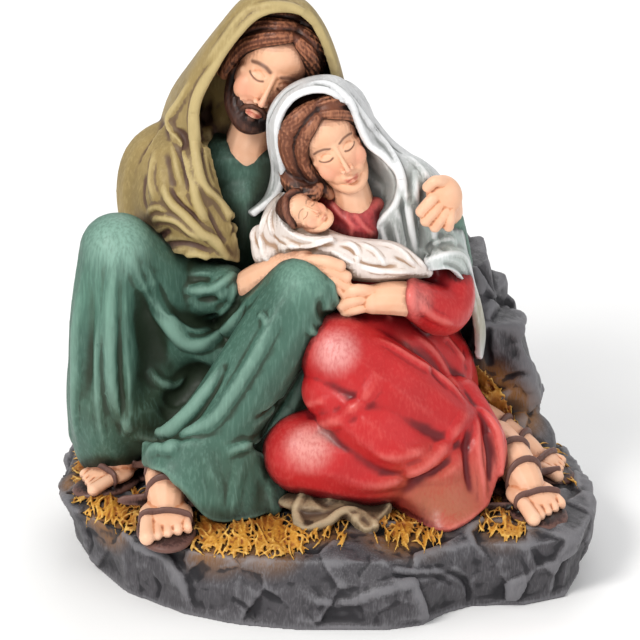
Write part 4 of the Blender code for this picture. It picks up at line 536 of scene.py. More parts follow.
# Clothes
def father_tunic():
    ball(spot(-32, 36, 58), (30, 24, 22))
    roll([spot(-32, 36, 60), spot(-30, 33, 95), spot(-26, 27, 122), (-26, 134, 26)], [24, 21, 20, 9])
    roll([(-52.5, 126.5, 26), (-26, 129, 25), (0.5, 127, 28)], [10, 13, 11])
    # right leg
    roll([spot(-46, 36, 62), (-54.5, 87, 12), (-67.5, 100.5, -4)], [20, 17, 12.5])
    roll([(-68.5, 100.5, -4), (-71.5, 77, -4), (-71.5, 50.5, 0), (-70.5, 37, 6)], [12.5, 13, 14, 14])
    roll([(-75.5, 84, 6), (-78.5, 57, 14), (-77.5, 40, 22)], [7, 8, 9])
    # left leg
    roll([spot(-18, 34, 60), (-17.5, 77, 8), (-6.5, 87, -16)], [20, 18, 12.5])
    roll([(-6.5, 86.5, -16), (-20.5, 64, -20), (-32.5, 45.5, -22), (-42.5, 33, -22)], [12.5, 13, 13, 13])
    roll([(-0.5, 77, -8), (-8.5, 54, -8), (-20.5, 30.5, -14), (-22.5, 19, -22)], [9, 12, 13, 9])
    # lap cloth: knee to knee, then down between the shins
    cloth([
        [(-65, 104.5, -2), (-50.5, 84, 8), (-27.5, 74, 14), (-12.5, 89, -4)],
        [(-67, 100, -14), (-54.5, 77, -6), (-28.5, 66.5, -6), (-9, 87, -22)],
        [(-67.5, 74, -16), (-52.5, 62, 0), (-34.5, 57, -2), (-17.5, 67, -24)],
        [(-66, 47, -14), (-52.5, 42, -6), (-40, 48, -12), (-31, 50.5, -26)],
        [(-70.5, 32, -2), (-59.5, 32, -4), (-48.5, 37, -14), (-44.5, 35.5, -26)],
    ], thick=5)
    # hem of the left leg round the foot
    cloth([
        [(-59, 37, -18), (-55, 36.5, -28), (-48.5, 37, -33), (-39.5, 38, -34), (-27.5, 37, -32),
         (-17.5, 30.5, -24)],
        [(-59, 32, -22), (-54.5, 29, -34), (-48.5, 26.5, -38), (-39.5, 22.5, -39), (-26, 20.5, -34),
         (-16, 22, -24)],
        [(-58.5, 28.5, -24), (-53, 26.5, -37), (-46.5, 21, -41), (-37.5, 11, -40), (-24.5, 11, -38),
         (-15.5, 15, -28)],
    ], thick=3.4)
    roll([(-59, 30, -24), (-56, 34, -30), (-51, 35, -34), (-45.5, 30, -36)], [1.6, 2.4, 2.4, 1.6])
    roll([(-20.5, 30, -18), (-17, 24, -24), (-17, 15.5, -30)], [7, 6, 4])
    # cloth flap at the left knee
    cloth([
        [(-4.5, 93, -18), (1, 91, -16), (3.5, 84.5, -15), (7.5, 78, -14)],
        [(-6, 84, -24), (-3, 80, -22), (-2.5, 74.5, -20), (2.5, 73, -16)],
    ], thick=2.5)
    # right sleeve
    roll([(-52.5, 117, 26), (-52.5, 96.5, 16), (-47.5, 89, 10), (-32.5, 88, 0)], [11, 11, 11, 8])
    # the other sleeve, past the hand on the shawl
    roll([(44.5, 96, 22), (44.5, 103, 14), (43.5, 110.5, 4)], [6, 4.5, 3.5])
    piece = fuse("father_tunic", 9)
    push(piece, [
        ([(-58.5, 89), (-57.5, 67), (-58.5, 47)], 9, -3.6),
        ([(-39.5, 63), (-46, 52), (-53.5, 44)], 8, -3.4),
        ([(-41, 85), (-33.5, 81), (-27.5, 84)], 6, -2.0),
        ([(-77, 90.5), (-78, 69), (-79, 49)], 4.5, -2.6),
        ([(-31, 64.5), (-38.5, 51.5), (-45.5, 42), (-54.5, 35.5)], 3.5, -2.4),
        ([(-1, 85), (0, 79), (3, 78)], 3, -2.2),
        ([(-13, 51), (-18.5, 46), (-23, 44)], 2.6, -1.8),
        ([(-45, 90), (-41, 91), (-37, 90.5)], 2.2, -1.5),
        ([(-43, 84), (-39, 83), (-35.5, 83.5)], 2.4, -1.6),
    ], rounds=3)
    push(piece, [
        ([(-65.5, 102), (-60.5, 90), (-55.5, 82), (-49.5, 73), (-44, 69), (-37.5, 70), (-30, 75.5),
          (-23.5, 83.5), (-18.5, 90)], 3.4, 2.8),
        ([(-59.5, 96.5), (-54.5, 85), (-49.5, 77), (-43.5, 73), (-37, 74)], 2.2, 1.6),
        ([(-68.5, 100), (-70, 84.5), (-70.5, 63), (-69, 50), (-64, 39)], 3.6, 2.6),
        ([(-64, 39), (-54.5, 38.5), (-44.5, 46.5), (-39, 53), (-32.5, 61.5)], 3.4, 2.8),
        ([(-12, 87), (-20.5, 69), (-30, 53), (-37.5, 43.5), (-48, 38), (-54.5, 33)], 3.8, 2.0),
        ([(-81.5, 87), (-82.5, 70.5), (-83, 50.5), (-83, 38)], 3.0, 1.4),
        ([(-73.5, 80.5), (-75, 64), (-74.5, 44), (-72.5, 32)], 2.2, 1.0),
        ([(-58.5, 61), (-54.5, 56.5), (-49.5, 55.5), (-45.5, 60)], 2.4, 1.5),
        ([(-55, 50.5), (-50.5, 46.5), (-46.5, 48)], 2.2, 0.9),
        ([(-21.5, 79), (-19.5, 78), (-18.5, 75)], 1.8, 1.0),
        ([(2, 95), (4, 84.5), (7.5, 78)], 2.0, 1.0),
        ([(7.5, 78), (1.5, 73.5), (-3, 73), (-5.5, 76)], 2.0, 1.4),
        ([(-1.5, 69), (-7.5, 55.5), (-14.5, 42), (-20.5, 32)], 4.0, 1.4),
        ([(-33.5, 33), (-25.5, 36), (-19, 40.5), (-11.5, 48.5)], 2.8, 1.7),
        ([(-46.5, 87), (-41, 87), (-35.5, 88), (-29, 93)], 2.0, 1.5),
        ([(-41.5, 77.5), (-35.5, 79), (-31, 83), (-28.5, 90)], 2.0, 1.5),
        ([(-26.5, 32), (-29, 22), (-30.5, 12)], 3.4, 0.9),
        ([(-21.5, 30), (-18.5, 20.5), (-18.5, 13)], 3.4, 0.9),
        ([(-41, 37), (-36, 24), (-34.5, 12)], 3.4, 0.8),
    ], rounds=2)
    return piece


HOOD_RIM = [
    (-28.5, 106.5, 2), (-36.5, 118.5, 4), (-41.5, 130.5, 6), (-42, 146.5, 6), (-36.5, 159, 5),
    (-29, 170, 4), (-21.5, 177, 4), (-13, 179, 4), (-5, 177, 5), (-0.5, 170.5, 6), (2.5, 162.5, 8),
    (5, 153, 10),
]

# The mantle down the back: heights, with places across and back along each
BACK_FALL = [
    (172, [(-28, 40), (-25, 46), (-21, 50), (-18, 51), (-15, 50), (-11, 46), (-8, 40)]),
    (150, [(-40, 44), (-34, 53), (-27, 58), (-19, 60), (-11, 58), (-4, 52), (2, 44)]),
    (128, [(-50, 42), (-42, 54), (-31, 60), (-21, 62), (-11, 60), (-1, 54), (8, 44)]),
    (104, [(-56, 42), (-46, 57), (-34, 64), (-22, 66), (-10, 64), (2, 56), (12, 46)]),
    (80, [(-58, 44), (-48, 58), (-36, 65), (-24, 67), (-12, 65), (0, 58), (11, 49)]),
    (56, [(-56, 44), (-47, 54), (-36, 59), (-24, 61), (-13, 59), (-2, 54), (8, 48)]),
    (36, [(-52, 40), (-45, 49), (-35, 53), (-24, 54), (-14, 53), (-4, 49), (6, 44)]),
]


def rear():
    """A frame behind the group that looks at it from the back: its places are left to right and up."""
    return frame_at(spot(0, 100, 0), 1, heading=180)


def father_mantle():
    cloth([
        HOOD_RIM,
        [(-31.5, 104, 10), (-41, 115.5, 12), (-48.5, 129, 14), (-49, 147, 16), (-41, 162, 14),
         (-32.5, 174, 12), (-25, 182, 12), (-17, 184, 12), (-7.5, 182, 13), (-1, 174.5, 14),
         (3.5, 164, 15), (6.5, 153, 16)],
        [(-34.5, 102, 30), (-47.5, 112, 34), (-54.5, 130.5, 36), (-50.5, 150.5, 40), (-41, 164.5, 42),
         (-31.5, 175, 40), (-24.5, 182, 36), (-17, 183, 36), (-8.5, 180.5, 36), (-1.5, 171, 38),
         (3.5, 157, 36), (7.5, 144, 34)],
        [(-32.5, 102, 50), (-41, 117, 54), (-44.5, 134, 56), (-39.5, 149, 54), (-34.5, 159, 52),
         (-27.5, 167, 50), (-22.5, 173, 48), (-17, 174.5, 48), (-11, 170.5, 48), (-6, 160.5, 50),
         (-2.5, 147, 50), (0.5, 134, 50)],
    ], thick=3)
    ball((-20.5, 155.5, 38), (21, 13, 26))
    # right shoulder and upper arm
    roll([(-46, 135.5, 26), (-54.5, 129, 26), (-56, 115.5, 22), (-52.5, 104, 16)], [11, 13, 13, 11])
    cloth([
        [(-48.5, 144, 24), (-55, 137, 18), (-59.5, 127, 16), (-61.5, 114, 14), (-59, 102.5, 12)],
        [(-44.5, 140.5, 12), (-48.5, 130.5, 6), (-52.5, 119, 3), (-53.5, 109, 3), (-51, 100.5, 3)],
        [(-41, 137, 8), (-41, 124, 0), (-41.5, 110.5, -2), (-40, 104, -2), (-37, 98.5, -1)],
        [(-39.5, 134, 8), (-35.5, 120.5, 3), (-31.5, 110.5, 2), (-29, 104, 3), (-28.5, 96.5, 4)],
    ], thick=5)
    ball(spot(-30, 40, 118), (28, 20, 28))
    roll([spot(-34, 44, 60), spot(-32, 46, 100), spot(-24, 36, 140)], [24, 22, 16])
    # left shoulder and arm passing behind
    roll([(-7.5, 130.5, 34), (7.5, 125.5, 36), (25.5, 112, 36), (40.5, 96.5, 30)], [14, 12, 11, 8])
    # the fall of the cloth down the back
    cloth([[spot(x, y, z) for x, y in row] for z, row in BACK_FALL], thick=4)
    piece = fuse("father_mantle", 4)
    push(piece, [
        ([(29, 150), (27, 120), (29, 90), (28, 52)], 3.4, -2.2),
        ([(8, 142), (9, 112), (13, 80), (13, 50)], 3.0, -1.8),
        ([(43, 132), (46, 104), (45, 62)], 3.0, -2.0),
        ([(-6, 134), (8, 127), (22, 125), (36, 128), (50, 136)], 4.0, -1.6),
        ([(-28, 112), (-22, 104), (-24, 96)], 2.4, -1.2),
        ([(-12, 122), (-8, 112), (-10, 104)], 2.4, -1.2),
    ], frame=rear())
    push(piece, [
        ([(25, 176), (32, 148), (37, 112), (38, 80), (36, 46)], 3.4, 2.2),
        ([(17, 176), (15, 146), (17, 112), (21, 80), (20, 44)], 3.2, 2.0),
        ([(9, 164), (3, 140), (2, 112), (6, 84), (7, 50)], 3.0, 1.8),
        ([(33, 166), (44, 140), (52, 112), (53, 80), (50, 52)], 3.0, 1.8),
        ([(-34, 104), (-29, 99), (-30, 92)], 2.0, 1.2),
        ([(-18, 116), (-14, 106), (-16, 100)], 2.2, 1.2),
    ], frame=rear())
    push(piece, [
        ([(-47.5, 141), (-46.5, 130.5), (-44, 120)], 4.0, -2.8),
        ([(-37.5, 153), (-39.5, 144), (-39, 132), (-36.5, 122)], 3.2, -2.0),
        ([(-52.5, 134), (-51, 125.5), (-48.5, 118.5)], 3.6, -1.6),
        ([(-57, 107), (-55, 104.5), (-50.5, 107)], 1.8, -2.0),
        ([(-52.5, 102), (-44.5, 102), (-36.5, 99.5)], 2.0, -1.8),
        ([(-39, 113), (-35.5, 106.5), (-32.5, 102.5)], 2.4, -1.8),
        ([(-51.5, 120.5), (-46.5, 114.5), (-39.5, 108.5)], 1.8, -1.8),
        ([(-31, 113), (-29.5, 108), (-30.5, 104)], 1.4, -1.4),
        ([(-59, 126.5), (-60, 118.5), (-58.5, 113)], 2.4, -1.0),
    ])
    push(piece, [
        (HOOD_RIM[:9], 1.9, 1.2),
        ([(-34.5, 162.5), (-39.5, 156), (-42.5, 149.5), (-43, 141.5), (-42, 132), (-39.5, 122), (-34, 116),
          (-29, 107.5)], 2.0, 1.9),
        ([(-43.5, 157), (-47.5, 149.5), (-50.5, 144), (-49, 138.5), (-45, 132), (-43, 124), (-41.5, 116),
          (-37, 107.5), (-32.5, 100)], 2.4, 2.2),
        ([(-53.5, 122), (-50.5, 116), (-46, 112), (-41.5, 107.5), (-35.5, 102.5), (-30.5, 97)], 2.0, 2.0),
        ([(-57, 110), (-54, 111), (-48.5, 110), (-43.5, 106), (-38.5, 103.5)], 1.9, 1.8),
        ([(-54.5, 101), (-50, 98.5), (-41.5, 99), (-33.5, 96)], 1.8, 1.2),
        ([(-58.5, 113), (-55, 114.5), (-51, 112.5)], 1.6, 1.0),
        ([(-55.5, 134), (-57, 124), (-55.5, 116)], 2.4, 1.2),
        ([(-39.5, 137), (-38.5, 127), (-35.5, 120)], 1.6, 1.0),
        ([(-39.5, 160.5), (-33.5, 168.5), (-27.5, 176.5), (-21.5, 182)], 2.2, 1.0),
        ([(-25, 179), (-17, 181), (-9, 180), (-3, 174)], 1.6, 0.8),
    ])
    return piece


VEIL_RIM = [
    (-23.5, 112, 4), (-15.5, 118.5, 2), (-13, 125.5, -2), (-14.5, 134, -6), (-14.5, 142.5, -8),
    (-10.5, 149.5, -9), (-3.5, 152.5, -9), (3.5, 151.5, -8), (9.5, 146, -6), (14.5, 135.5, -4),
    (20.5, 130.5, -4), (25, 124, -5), (23.5, 116, -5), (18.5, 110, -4), (16.5, 104, -2),
]


def mother_veil():
    cloth([
        VEIL_RIM,
        [(-24.5, 112.5, 10), (-18.5, 118, 10), (-16, 126.5, 8), (-17.5, 136.5, 4), (-17, 146, 2),
         (-11.5, 153, 1), (-3, 156.5, 1), (5.5, 156, 2), (12.5, 148.5, 4), (20.5, 137.5, 6), (27, 132, 6),
         (32.5, 129, 4), (34.5, 122, -2), (29.5, 109, -3), (26.5, 98.5, -3)],
        [(-20.5, 112.5, 18), (-17, 120.5, 22), (-15.5, 129, 22), (-15.5, 137, 20), (-13.5, 145.5, 18),
         (-8.5, 152, 16), (-1.5, 154, 16), (6.5, 152.5, 16), (13.5, 144.5, 18), (23, 135, 20),
         (31, 129.5, 18), (36.5, 122, 10), (40.5, 111, 4), (41.5, 101, 2), (39, 93, 0)],
    ], thick=2.4)
    # the shaded inner side beside the neck
    cloth([
        [(13, 138, 0), (19.5, 131, -2), (24.5, 124, -3), (23.5, 116, -3), (18, 110, -2), (16.5, 104.5, 0)],
        [(11.5, 135, 10), (14.5, 129, 12), (17, 122.5, 11), (17.5, 116, 9), (17, 109, 6), (16, 104, 4)],
    ], thick=2.6)
    ball((0.5, 139, 18), (16, 9, 18))
    ball((20, 126.5, 18), (8, 7, 7))
    roll([(17.5, 120.5, 14), (27.5, 119, 12), (35.5, 109, 8), (39.5, 98.5, 6)], [12, 13, 11, 9])
    # the hem over the elbow and the edge that falls behind
    cloth([
        [(33.5, 93, -11), (41, 94, -9), (45.5, 91, -4), (48.5, 86, 2), (50.5, 79, 6), (51.5, 72, 8),
         (52, 64.5, 10)],
        [(33.5, 96.5, -9), (40.5, 99.5, -7), (47, 98.5, 2), (49.5, 90, 8), (52, 82, 12), (53.5, 73, 14),
         (52.5, 64, 14)],
        [(35.5, 100.5, 2), (41.5, 102, 6), (46.5, 99, 14), (49, 89.5, 18), (51.5, 80.5, 22),
         (52.5, 72, 24), (52.5, 64, 26)],
    ], thick=2.4)
    roll([(15.5, 117, 22), (29, 87, 34), (37.5, 57, 36)], [16, 18, 14])
    roll([(2.5, 144, 16), (9, 127, 22), (19, 110.5, 26)], [14, 15, 18])
    piece = fuse("mother_veil", 4)
    push(piece, [
        ([(-16, 130), (-26, 116), (-34, 100)], 3.0, 1.6),
        ([(-22, 100), (-26, 84), (-28, 62)], 3.0, 1.8),
        ([(-12, 98), (-15, 80), (-16, 60)], 2.8, 1.6),
        ([(-34, 98), (-37, 82), (-38, 64)], 2.8, 1.4),
        ([(-18, 96), (-21, 78), (-22, 60)], 2.4, -1.4),
        ([(-30, 96), (-32, 80), (-33, 62)], 2.4, -1.4),
    ], frame=rear())
    push(piece, [
        ([(27.5, 118.5), (26.5, 109), (29, 98.5)], 2.6, -2.0),
        ([(32.5, 120.5), (32, 110.5), (33.5, 100)], 2.6, -1.6),
        ([(21.5, 110), (23, 102), (25.5, 96.5)], 2.4, -1.4),
        ([(-3.5, 155), (3.5, 153), (7.5, 148.5), (11, 140.5)], 1.3, -1.7),
        ([(39, 96), (45, 94.5), (48.5, 90)], 1.6, -1.3),
        ([(38.5, 106.5), (39.5, 102), (41.5, 100)], 2.2, -1.2),
        ([(17, 142.5), (21.5, 136.5), (26.5, 132)], 1.6, -1.1),
        ([(-19, 118.5), (-19.5, 130.5), (-18.5, 142), (-13.5, 151), (-6.5, 155.5)], 1.2, -1.1),
        ([(9, 152), (14.5, 144), (19, 137)], 1.2, -0.9),
        ([(34.5, 98), (35.5, 101.5), (37.5, 104)], 1.4, -1.4),
        ([(31.5, 112.5), (32, 106.5), (32.5, 100.5)], 1.4, -1.4),
    ])
    push(piece, [
        (VEIL_RIM, 1.7, 0.9),
        ([(5.5, 155), (9.5, 150), (16, 140.5), (21.5, 134), (25.5, 126.5), (27.5, 117), (29, 108),
          (30.5, 98.5)], 1.9, 1.3),
        ([(-6.5, 154.5), (1, 155), (7, 151.5), (11.5, 144.5)], 1.6, 0.8),
        ([(30.5, 127), (31, 117), (31.5, 102)], 1.8, 1.1),
        ([(35, 122.5), (35.5, 112), (37.5, 102)], 1.8, 1.0),
        ([(24.5, 114), (26.5, 105.5), (27.5, 98.5)], 1.6, 0.9),
        ([(19, 108.5), (21, 102.5), (22.5, 98.5)], 1.6, 0.9),
        ([(26.5, 132), (31.5, 128.5), (35.5, 123)], 1.8, 0.8),
        ([(34, 96.5), (41, 99), (47, 98), (50, 89), (52.5, 80.5), (53, 71)], 1.5, 0.9),
        ([(35.5, 102), (41.5, 104), (44.5, 102)], 1.6, 0.9),
        ([(-18.5, 118), (-16.5, 124), (-17, 134)], 1.3, 0.5),
    ])
    return piece


def mother_dress():
    # bodice, neckline and sleeve
    roll([(9.5, 110, 8), (11.5, 103, 12), (22.5, 80.5, 18), (33.5, 59, 22)], [10.5, 15, 18, 18])
    roll([(0.5, 118.5, 3), (4.5, 114, -1), (11, 111, -3), (17.5, 115, 1)], 3.4)
    roll([(-0.5, 111, 3), (9, 107.5, 0), (17.5, 110, 3)], [7, 8, 7])
    roll([(40.5, 94.5, 6), (41.5, 85, 0), (39, 80.5, -6), (30.5, 84, -14)], [9, 9.5, 9, 7])
    # hip, bent legs and the skirt over the feet
    ball((33.5, 55.5, 18), (19, 24, 20))
    roll([(33.5, 60, 12), (19, 67, 0), (5.5, 66.5, -20)], [18, 18, 14])
    roll([(5.5, 66.5, -20), (25.5, 50.5, -22), (45.5, 37, -16), (56.5, 31, -10)], [14, 16, 12, 8])
    roll([(32.5, 44, 10), (9, 37, -12), (-6.5, 33, -25)], [20, 18, 14])
    roll([(-6.5, 33, -25), (15.5, 30, -26), (39, 30, -20), (55.5, 29, -8)], [14, 15, 12, 8])
    roll([(2.5, 54, -24), (19, 40.5, -30), (39, 29, -28)], [10, 13, 10])
    roll([(45.5, 50.5, -6), (51.5, 44.5, -13), (57, 38, -18), (58, 30, -20)], [8, 6, 4, 4])
    # cuff at the wrist
    roll([(29.5, 90, -14), (29, 84.5, -21), (31, 78.5, -17), (34.5, 76.5, -10)], [2, 2.2, 2.4, 2])
    # hem
    cloth([
        [(15.5, 24.5, -30), (25.5, 24.5, -34), (39, 28.5, -34), (51.5, 38.5, -24), (56.5, 42, -14)],
        [(19, 20.5, -30), (29, 18, -36), (41, 17, -38), (51.5, 20.5, -32), (58.5, 28, -22)],
        [(23, 17, -26), (29.5, 12, -34), (38.5, 7, -44), (46.5, 9, -42), (55, 15.5, -34)],
    ], thick=3.5)
    piece = fuse("mother_dress", 10)
    push(piece, [
        ([(19, 38.5), (29.5, 40.5), (39, 41)], 7, -0.7),
        ([(53.5, 42.5), (55.5, 32), (55.5, 23)], 2.2, -1.8),
        ([(48, 41), (47.5, 32), (49, 19)], 2.4, -1.4),
        ([(25.5, 70.5), (34, 63), (41.5, 54.5)], 3, -1.2),
        ([(47.5, 69), (49, 59)], 3, -1.0),
        ([(2.5, 46.5), (12.5, 45)], 4, -0.7),
        ([(24, 24), (35.5, 26), (44, 32)], 3, -1.6),
    ], rounds=3)
    push(piece, [
        ([(15.5, 71.5), (21.5, 69), (29.5, 64), (36, 60), (42.5, 55), (47.5, 49.5)], 2.6, 1.4),
        ([(29.5, 73), (37, 66), (42.5, 57), (48.5, 50)], 2.4, 1.3),
        ([(40.5, 72), (44.5, 67), (49, 61.5)], 2.0, 1.0),
        ([(18.5, 60), (15.5, 54), (10, 48), (4, 44), (-3, 42.5), (-8, 39.5)], 3.6, 1.3),
        ([(-10, 48), (-3.5, 49.5), (2.5, 51)], 2.4, 0.6),
        ([(49, 48), (43, 39.5), (37, 32), (29.5, 26.5), (18.5, 22.5), (5.5, 23)], 3.8, 1.4),
        ([(15.5, 33), (25.5, 32), (35.5, 35)], 3.2, 0.8),
        ([(51, 45.5), (51, 37), (51.5, 30.5), (52.5, 25), (53.5, 16)], 2.4, 1.5),
        ([(52.5, 46.5), (56.5, 42.5), (59, 34), (58.5, 25), (55.5, 17)], 2.4, 1.5),
        ([(50.5, 48), (54.5, 45.5), (60, 37)], 1.8, 0.9),
        ([(16.5, 84), (23, 76.5)], 2.5, 1.0),
        ([(2.5, 116.5), (6.5, 111), (12.5, 106.5)], 1.5, 0.8),
        ([(9.5, 113), (13, 108.5), (17, 105)], 1.5, 0.8),
        ([(7, 114), (9, 109), (9.5, 104.5)], 1.4, 0.6),
        ([(31.5, 84), (35.5, 79), (43, 75.5)], 2.4, 1.0),
    ], rounds=2)
    return piece


def child_wrap():
    ball((-13, 108, -1), (8, 8, 9))
    roll([(-7.5, 103, -8), (4, 99, -12), (13, 97, -13), (22.5, 96.5, -12), (29.5, 94.5, -11),
          (34.5, 93, -10)], [8, 7, 7.3, 6.8, 4.5, 2])
    roll([(-20.5, 105, 0), (-17, 98.5, -4), (-8.5, 96.5, -8)], [4, 6, 6])
    cloth([
        [(-12, 119, -2), (-14, 115.5, -6), (-13.5, 110.5, -11), (-9.5, 106, -15), (-3.5, 104, -18),
         (3, 104.5, -17)],
        [(-15, 119, 6), (-18.5, 114, 4), (-19.5, 106.5, 0), (-15.5, 100.5, -6), (-6, 99.5, -12),
         (5.5, 102, -14)],
    ], thick=2.2)
    piece = fuse("child_wrap", 3)
    push(piece, [
        ([(-17.5, 106.5), (-15, 103), (-10.5, 101)], 1.5, -1.1),
        ([(-22.5, 110), (-23, 104.5), (-20.5, 100)], 1.5, -1.0),
        ([(-12.5, 100), (-7, 99), (-1.5, 100.5)], 1.4, -0.9),
        ([(9.5, 96.5), (17.5, 94.5), (25, 95)], 1.6, -1.1),
        ([(-0.5, 98), (5, 94.5), (9.5, 92.5)], 1.5, -1.0),
        ([(23, 98.5), (27, 96.5), (31, 94)], 1.3, -0.9),
        ([(5, 102), (9, 100.5), (13, 96.5)], 1.3, -0.8),
    ], rounds=0)
    push(piece, [
        ([(-18.5, 113), (-20.5, 106.5), (-20, 98.5)], 1.6, 1.1),
        ([(-15.5, 116), (-17.5, 110), (-15.5, 104), (-11, 100.5)], 1.4, 0.9),
        ([(-13.5, 102), (-6, 101.5), (3.5, 104)], 1.5, 1.1),
        ([(7, 103.5), (11, 100.5), (11.5, 94.5)], 1.5, 0.9),
        ([(11, 103), (17, 100), (21, 94.5)], 1.4, 0.8),
        ([(17.5, 103), (25, 100.5), (30.5, 95)], 1.5, 0.9),
        ([(1.5, 100.5), (9, 96.5), (20.5, 92.5)], 1.5, 0.9),
        ([(-3.5, 99), (2.5, 95), (9, 90.5)], 1.5, 0.8),
        ([(24.5, 102), (29.5, 98.5), (34.5, 94)], 1.3, 0.8),
        ([(14.5, 94), (22.5, 93), (29.5, 93)], 1.3, 0.7),
        ([(-20.5, 98), (-15.5, 96), (-10.5, 96.5)], 1.4, 0.7),
    ])
    return piece


# Heads, hair and beard, in head frames whose unit is the height of the head
FACES = {
    "father": dict(centre=(-17.5, 160.5, 18), size=39, lean=28, heading=3, nod=3),
    "mother": dict(centre=(2.5, 136, 0), size=33.5, lean=-27, heading=12, nod=8),
    "child": dict(centre=(-5.5, 112, -9), size=18.5, lean=-52, heading=38, nod=-16),
}
HEAD_SHIFT = (0, 0.02, -0.5)
FEATURES = {
    "father": dict(jaw=1.0, brow=1.0, age=1.0, nose=1.0),
    "mother": dict(jaw=0.78, brow=0.5, age=0.0, nose=0.85),
    "child": dict(jaw=0.95, brow=0.3, age=0.0, nose=0.75),
}


def head_frame(who):
    return frame_at(**FACES[who], shift=HEAD_SHIFT)


def head(who):
    f = head_frame(who)
    jaw, brow, age, nose = FEATURES[who].values()
    ball((0, 0.06, 0.64), (0.33, 0.40, 0.36), frame=f)
    ball((0, -0.14, 0.70), (0.27, 0.21, 0.22), frame=f)
    ball((0, -0.10, 0.42), (0.265, 0.26, 0.30), frame=f)
    line = [(0.235 * jaw, 0.02, 0.36), (0.180 * jaw, -0.14, 0.175), (0.06, -0.260, 0.085)]
    roll(mirrored(line), [0.08, 0.08, 0.07, 0.07, 0.08, 0.08], f)
    ball((0, -0.14, 0.23), (0.19 * jaw, 0.185, 0.17), frame=f)
    ball((0, -0.275, 0.085), (0.070, 0.060, 0.060), frame=f)
    ball((0, -0.20, 0.50), (0.20, 0.11, 0.13), frame=f)
    for s in (-1, 1):
        ball((s * 0.095, -0.228, 0.25), (0.09, 0.08, 0.11), frame=f)
        ball((s * 0.145, -0.215, 0.345), (0.11, 0.10, 0.135), frame=f)
        roll([(s * 0.11, -0.27, 0.41), (s * 0.215, -0.17, 0.45)], [0.045, 0.05], f)
        ball((s * 0.123, -0.262, 0.492), (0.070, 0.055, 0.047), frame=f)
        ball((s * 0.046, -0.368, 0.318), (0.028 * nose, 0.038, 0.025), frame=f)
    arch = [(0.215, -0.20, 0.575), (0.11, -0.293, 0.602)]
    roll(mirrored(arch, [(0, -0.305, 0.59)]), [0.025 + 0.012 * brow * k for k in (0.3, 1, 0.6, 1, 0.3)], f)
    bridge = [(0, -0.318, 0.58), (0, -0.362, 0.47), (0, -0.410, 0.365), (0, -0.420, 0.335)]
    roll(bridge, [0.028, 0.024 * nose, 0.030 * nose, 0.036 * nose], f)
    ball((0, -0.268, 0.215), (0.12, 0.088, 0.085), frame=f)
    upper = [(0.078, -0.322, 0.172), (0.034, -0.356, 0.211)]
    roll(mirrored(upper, [(0, -0.362, 0.215)]), [0.007, 0.016, 0.016, 0.016, 0.007], f)
    roll([(-0.062, -0.326, 0.164), (0, -0.357, 0.177), (0.062, -0.326, 0.164)], [0.009, 0.022, 0.009], f)
    piece = fuse(who + "_head", 6)
    cuts = [
        ([(-0.082, 0.166), (-0.042, 0.190), (0, 0.197), (0.042, 0.190), (0.082, 0.166)], 0.014, -0.010),
        ([(0, 0.285), (0, 0.238)], 0.018, -0.006),
        ([(-0.045, 0.142), (0, 0.136), (0.045, 0.142)], 0.035, -0.010),
    ]
    for s in (-1, 1):
        under = [(0.062, 0.490), (0.093, 0.472), (0.125, 0.465), (0.160, 0.471), (0.188, 0.485)]
        over = [(0.062, 0.520), (0.095, 0.540), (0.138, 0.544), (0.182, 0.524)]
        cuts.append(([(s * x, z) for x, z in under], 0.015, -0.012))
        cuts.append(([(s * x, z) for x, z in over], 0.020, -0.008))
        cuts.append(([(s * 0.076, 0.322), (s * 0.104, 0.255)], 0.034, -0.004 * age))
        cuts.append(([(s * 0.018, 0.302), (s * 0.032, 0.299)], 0.016, -0.012))
    push(piece, cuts, rounds=0, taper=0.12, frame=f)
    relax(piece, 1, 0.3)
    return piece


def father_hair():
    f = head_frame("father")
    ball((0, 0.09, 0.68), (0.355, 0.40, 0.36), frame=f)
    for s, drop in ((-1, 0.26), (1, 0.34)):
        lock([(s * 0.02, -0.245, 0.935), (s * 0.14, -0.275, 0.885), (s * 0.25, -0.22, 0.77),
              (s * 0.315, -0.12, 0.62), (s * 0.33, -0.05, 0.46), (s * 0.31, 0.01, drop)],
             [0.045, 0.065, 0.07, 0.065, 0.055, 0.045], f, 11, 0.017, 1.2)
        lock([(s * 0.02, -0.17, 0.99), (s * 0.16, -0.2, 0.945), (s * 0.28, -0.12, 0.83),
              (s * 0.345, -0.01, 0.64), (s * 0.35, 0.04, 0.42), (s * 0.33, 0.08, 0.25)],
             [0.05, 0.07, 0.075, 0.07, 0.06, 0.05], f, 11, 0.018, 1.4)
        lock([(s * 0.02, -0.06, 1.03), (s * 0.17, -0.08, 0.99), (s * 0.3, 0.0, 0.86),
              (s * 0.36, 0.08, 0.64), (s * 0.36, 0.12, 0.4)],
             [0.05, 0.07, 0.075, 0.07, 0.06], f, 9, 0.019, 1.0)
    return fuse("father_hair", 1)


BEARD_STRANDS = 64
BEARD_SPREAD = 210
BEARD_RADIUS = 0.215
JAW_MIDDLE = -0.10


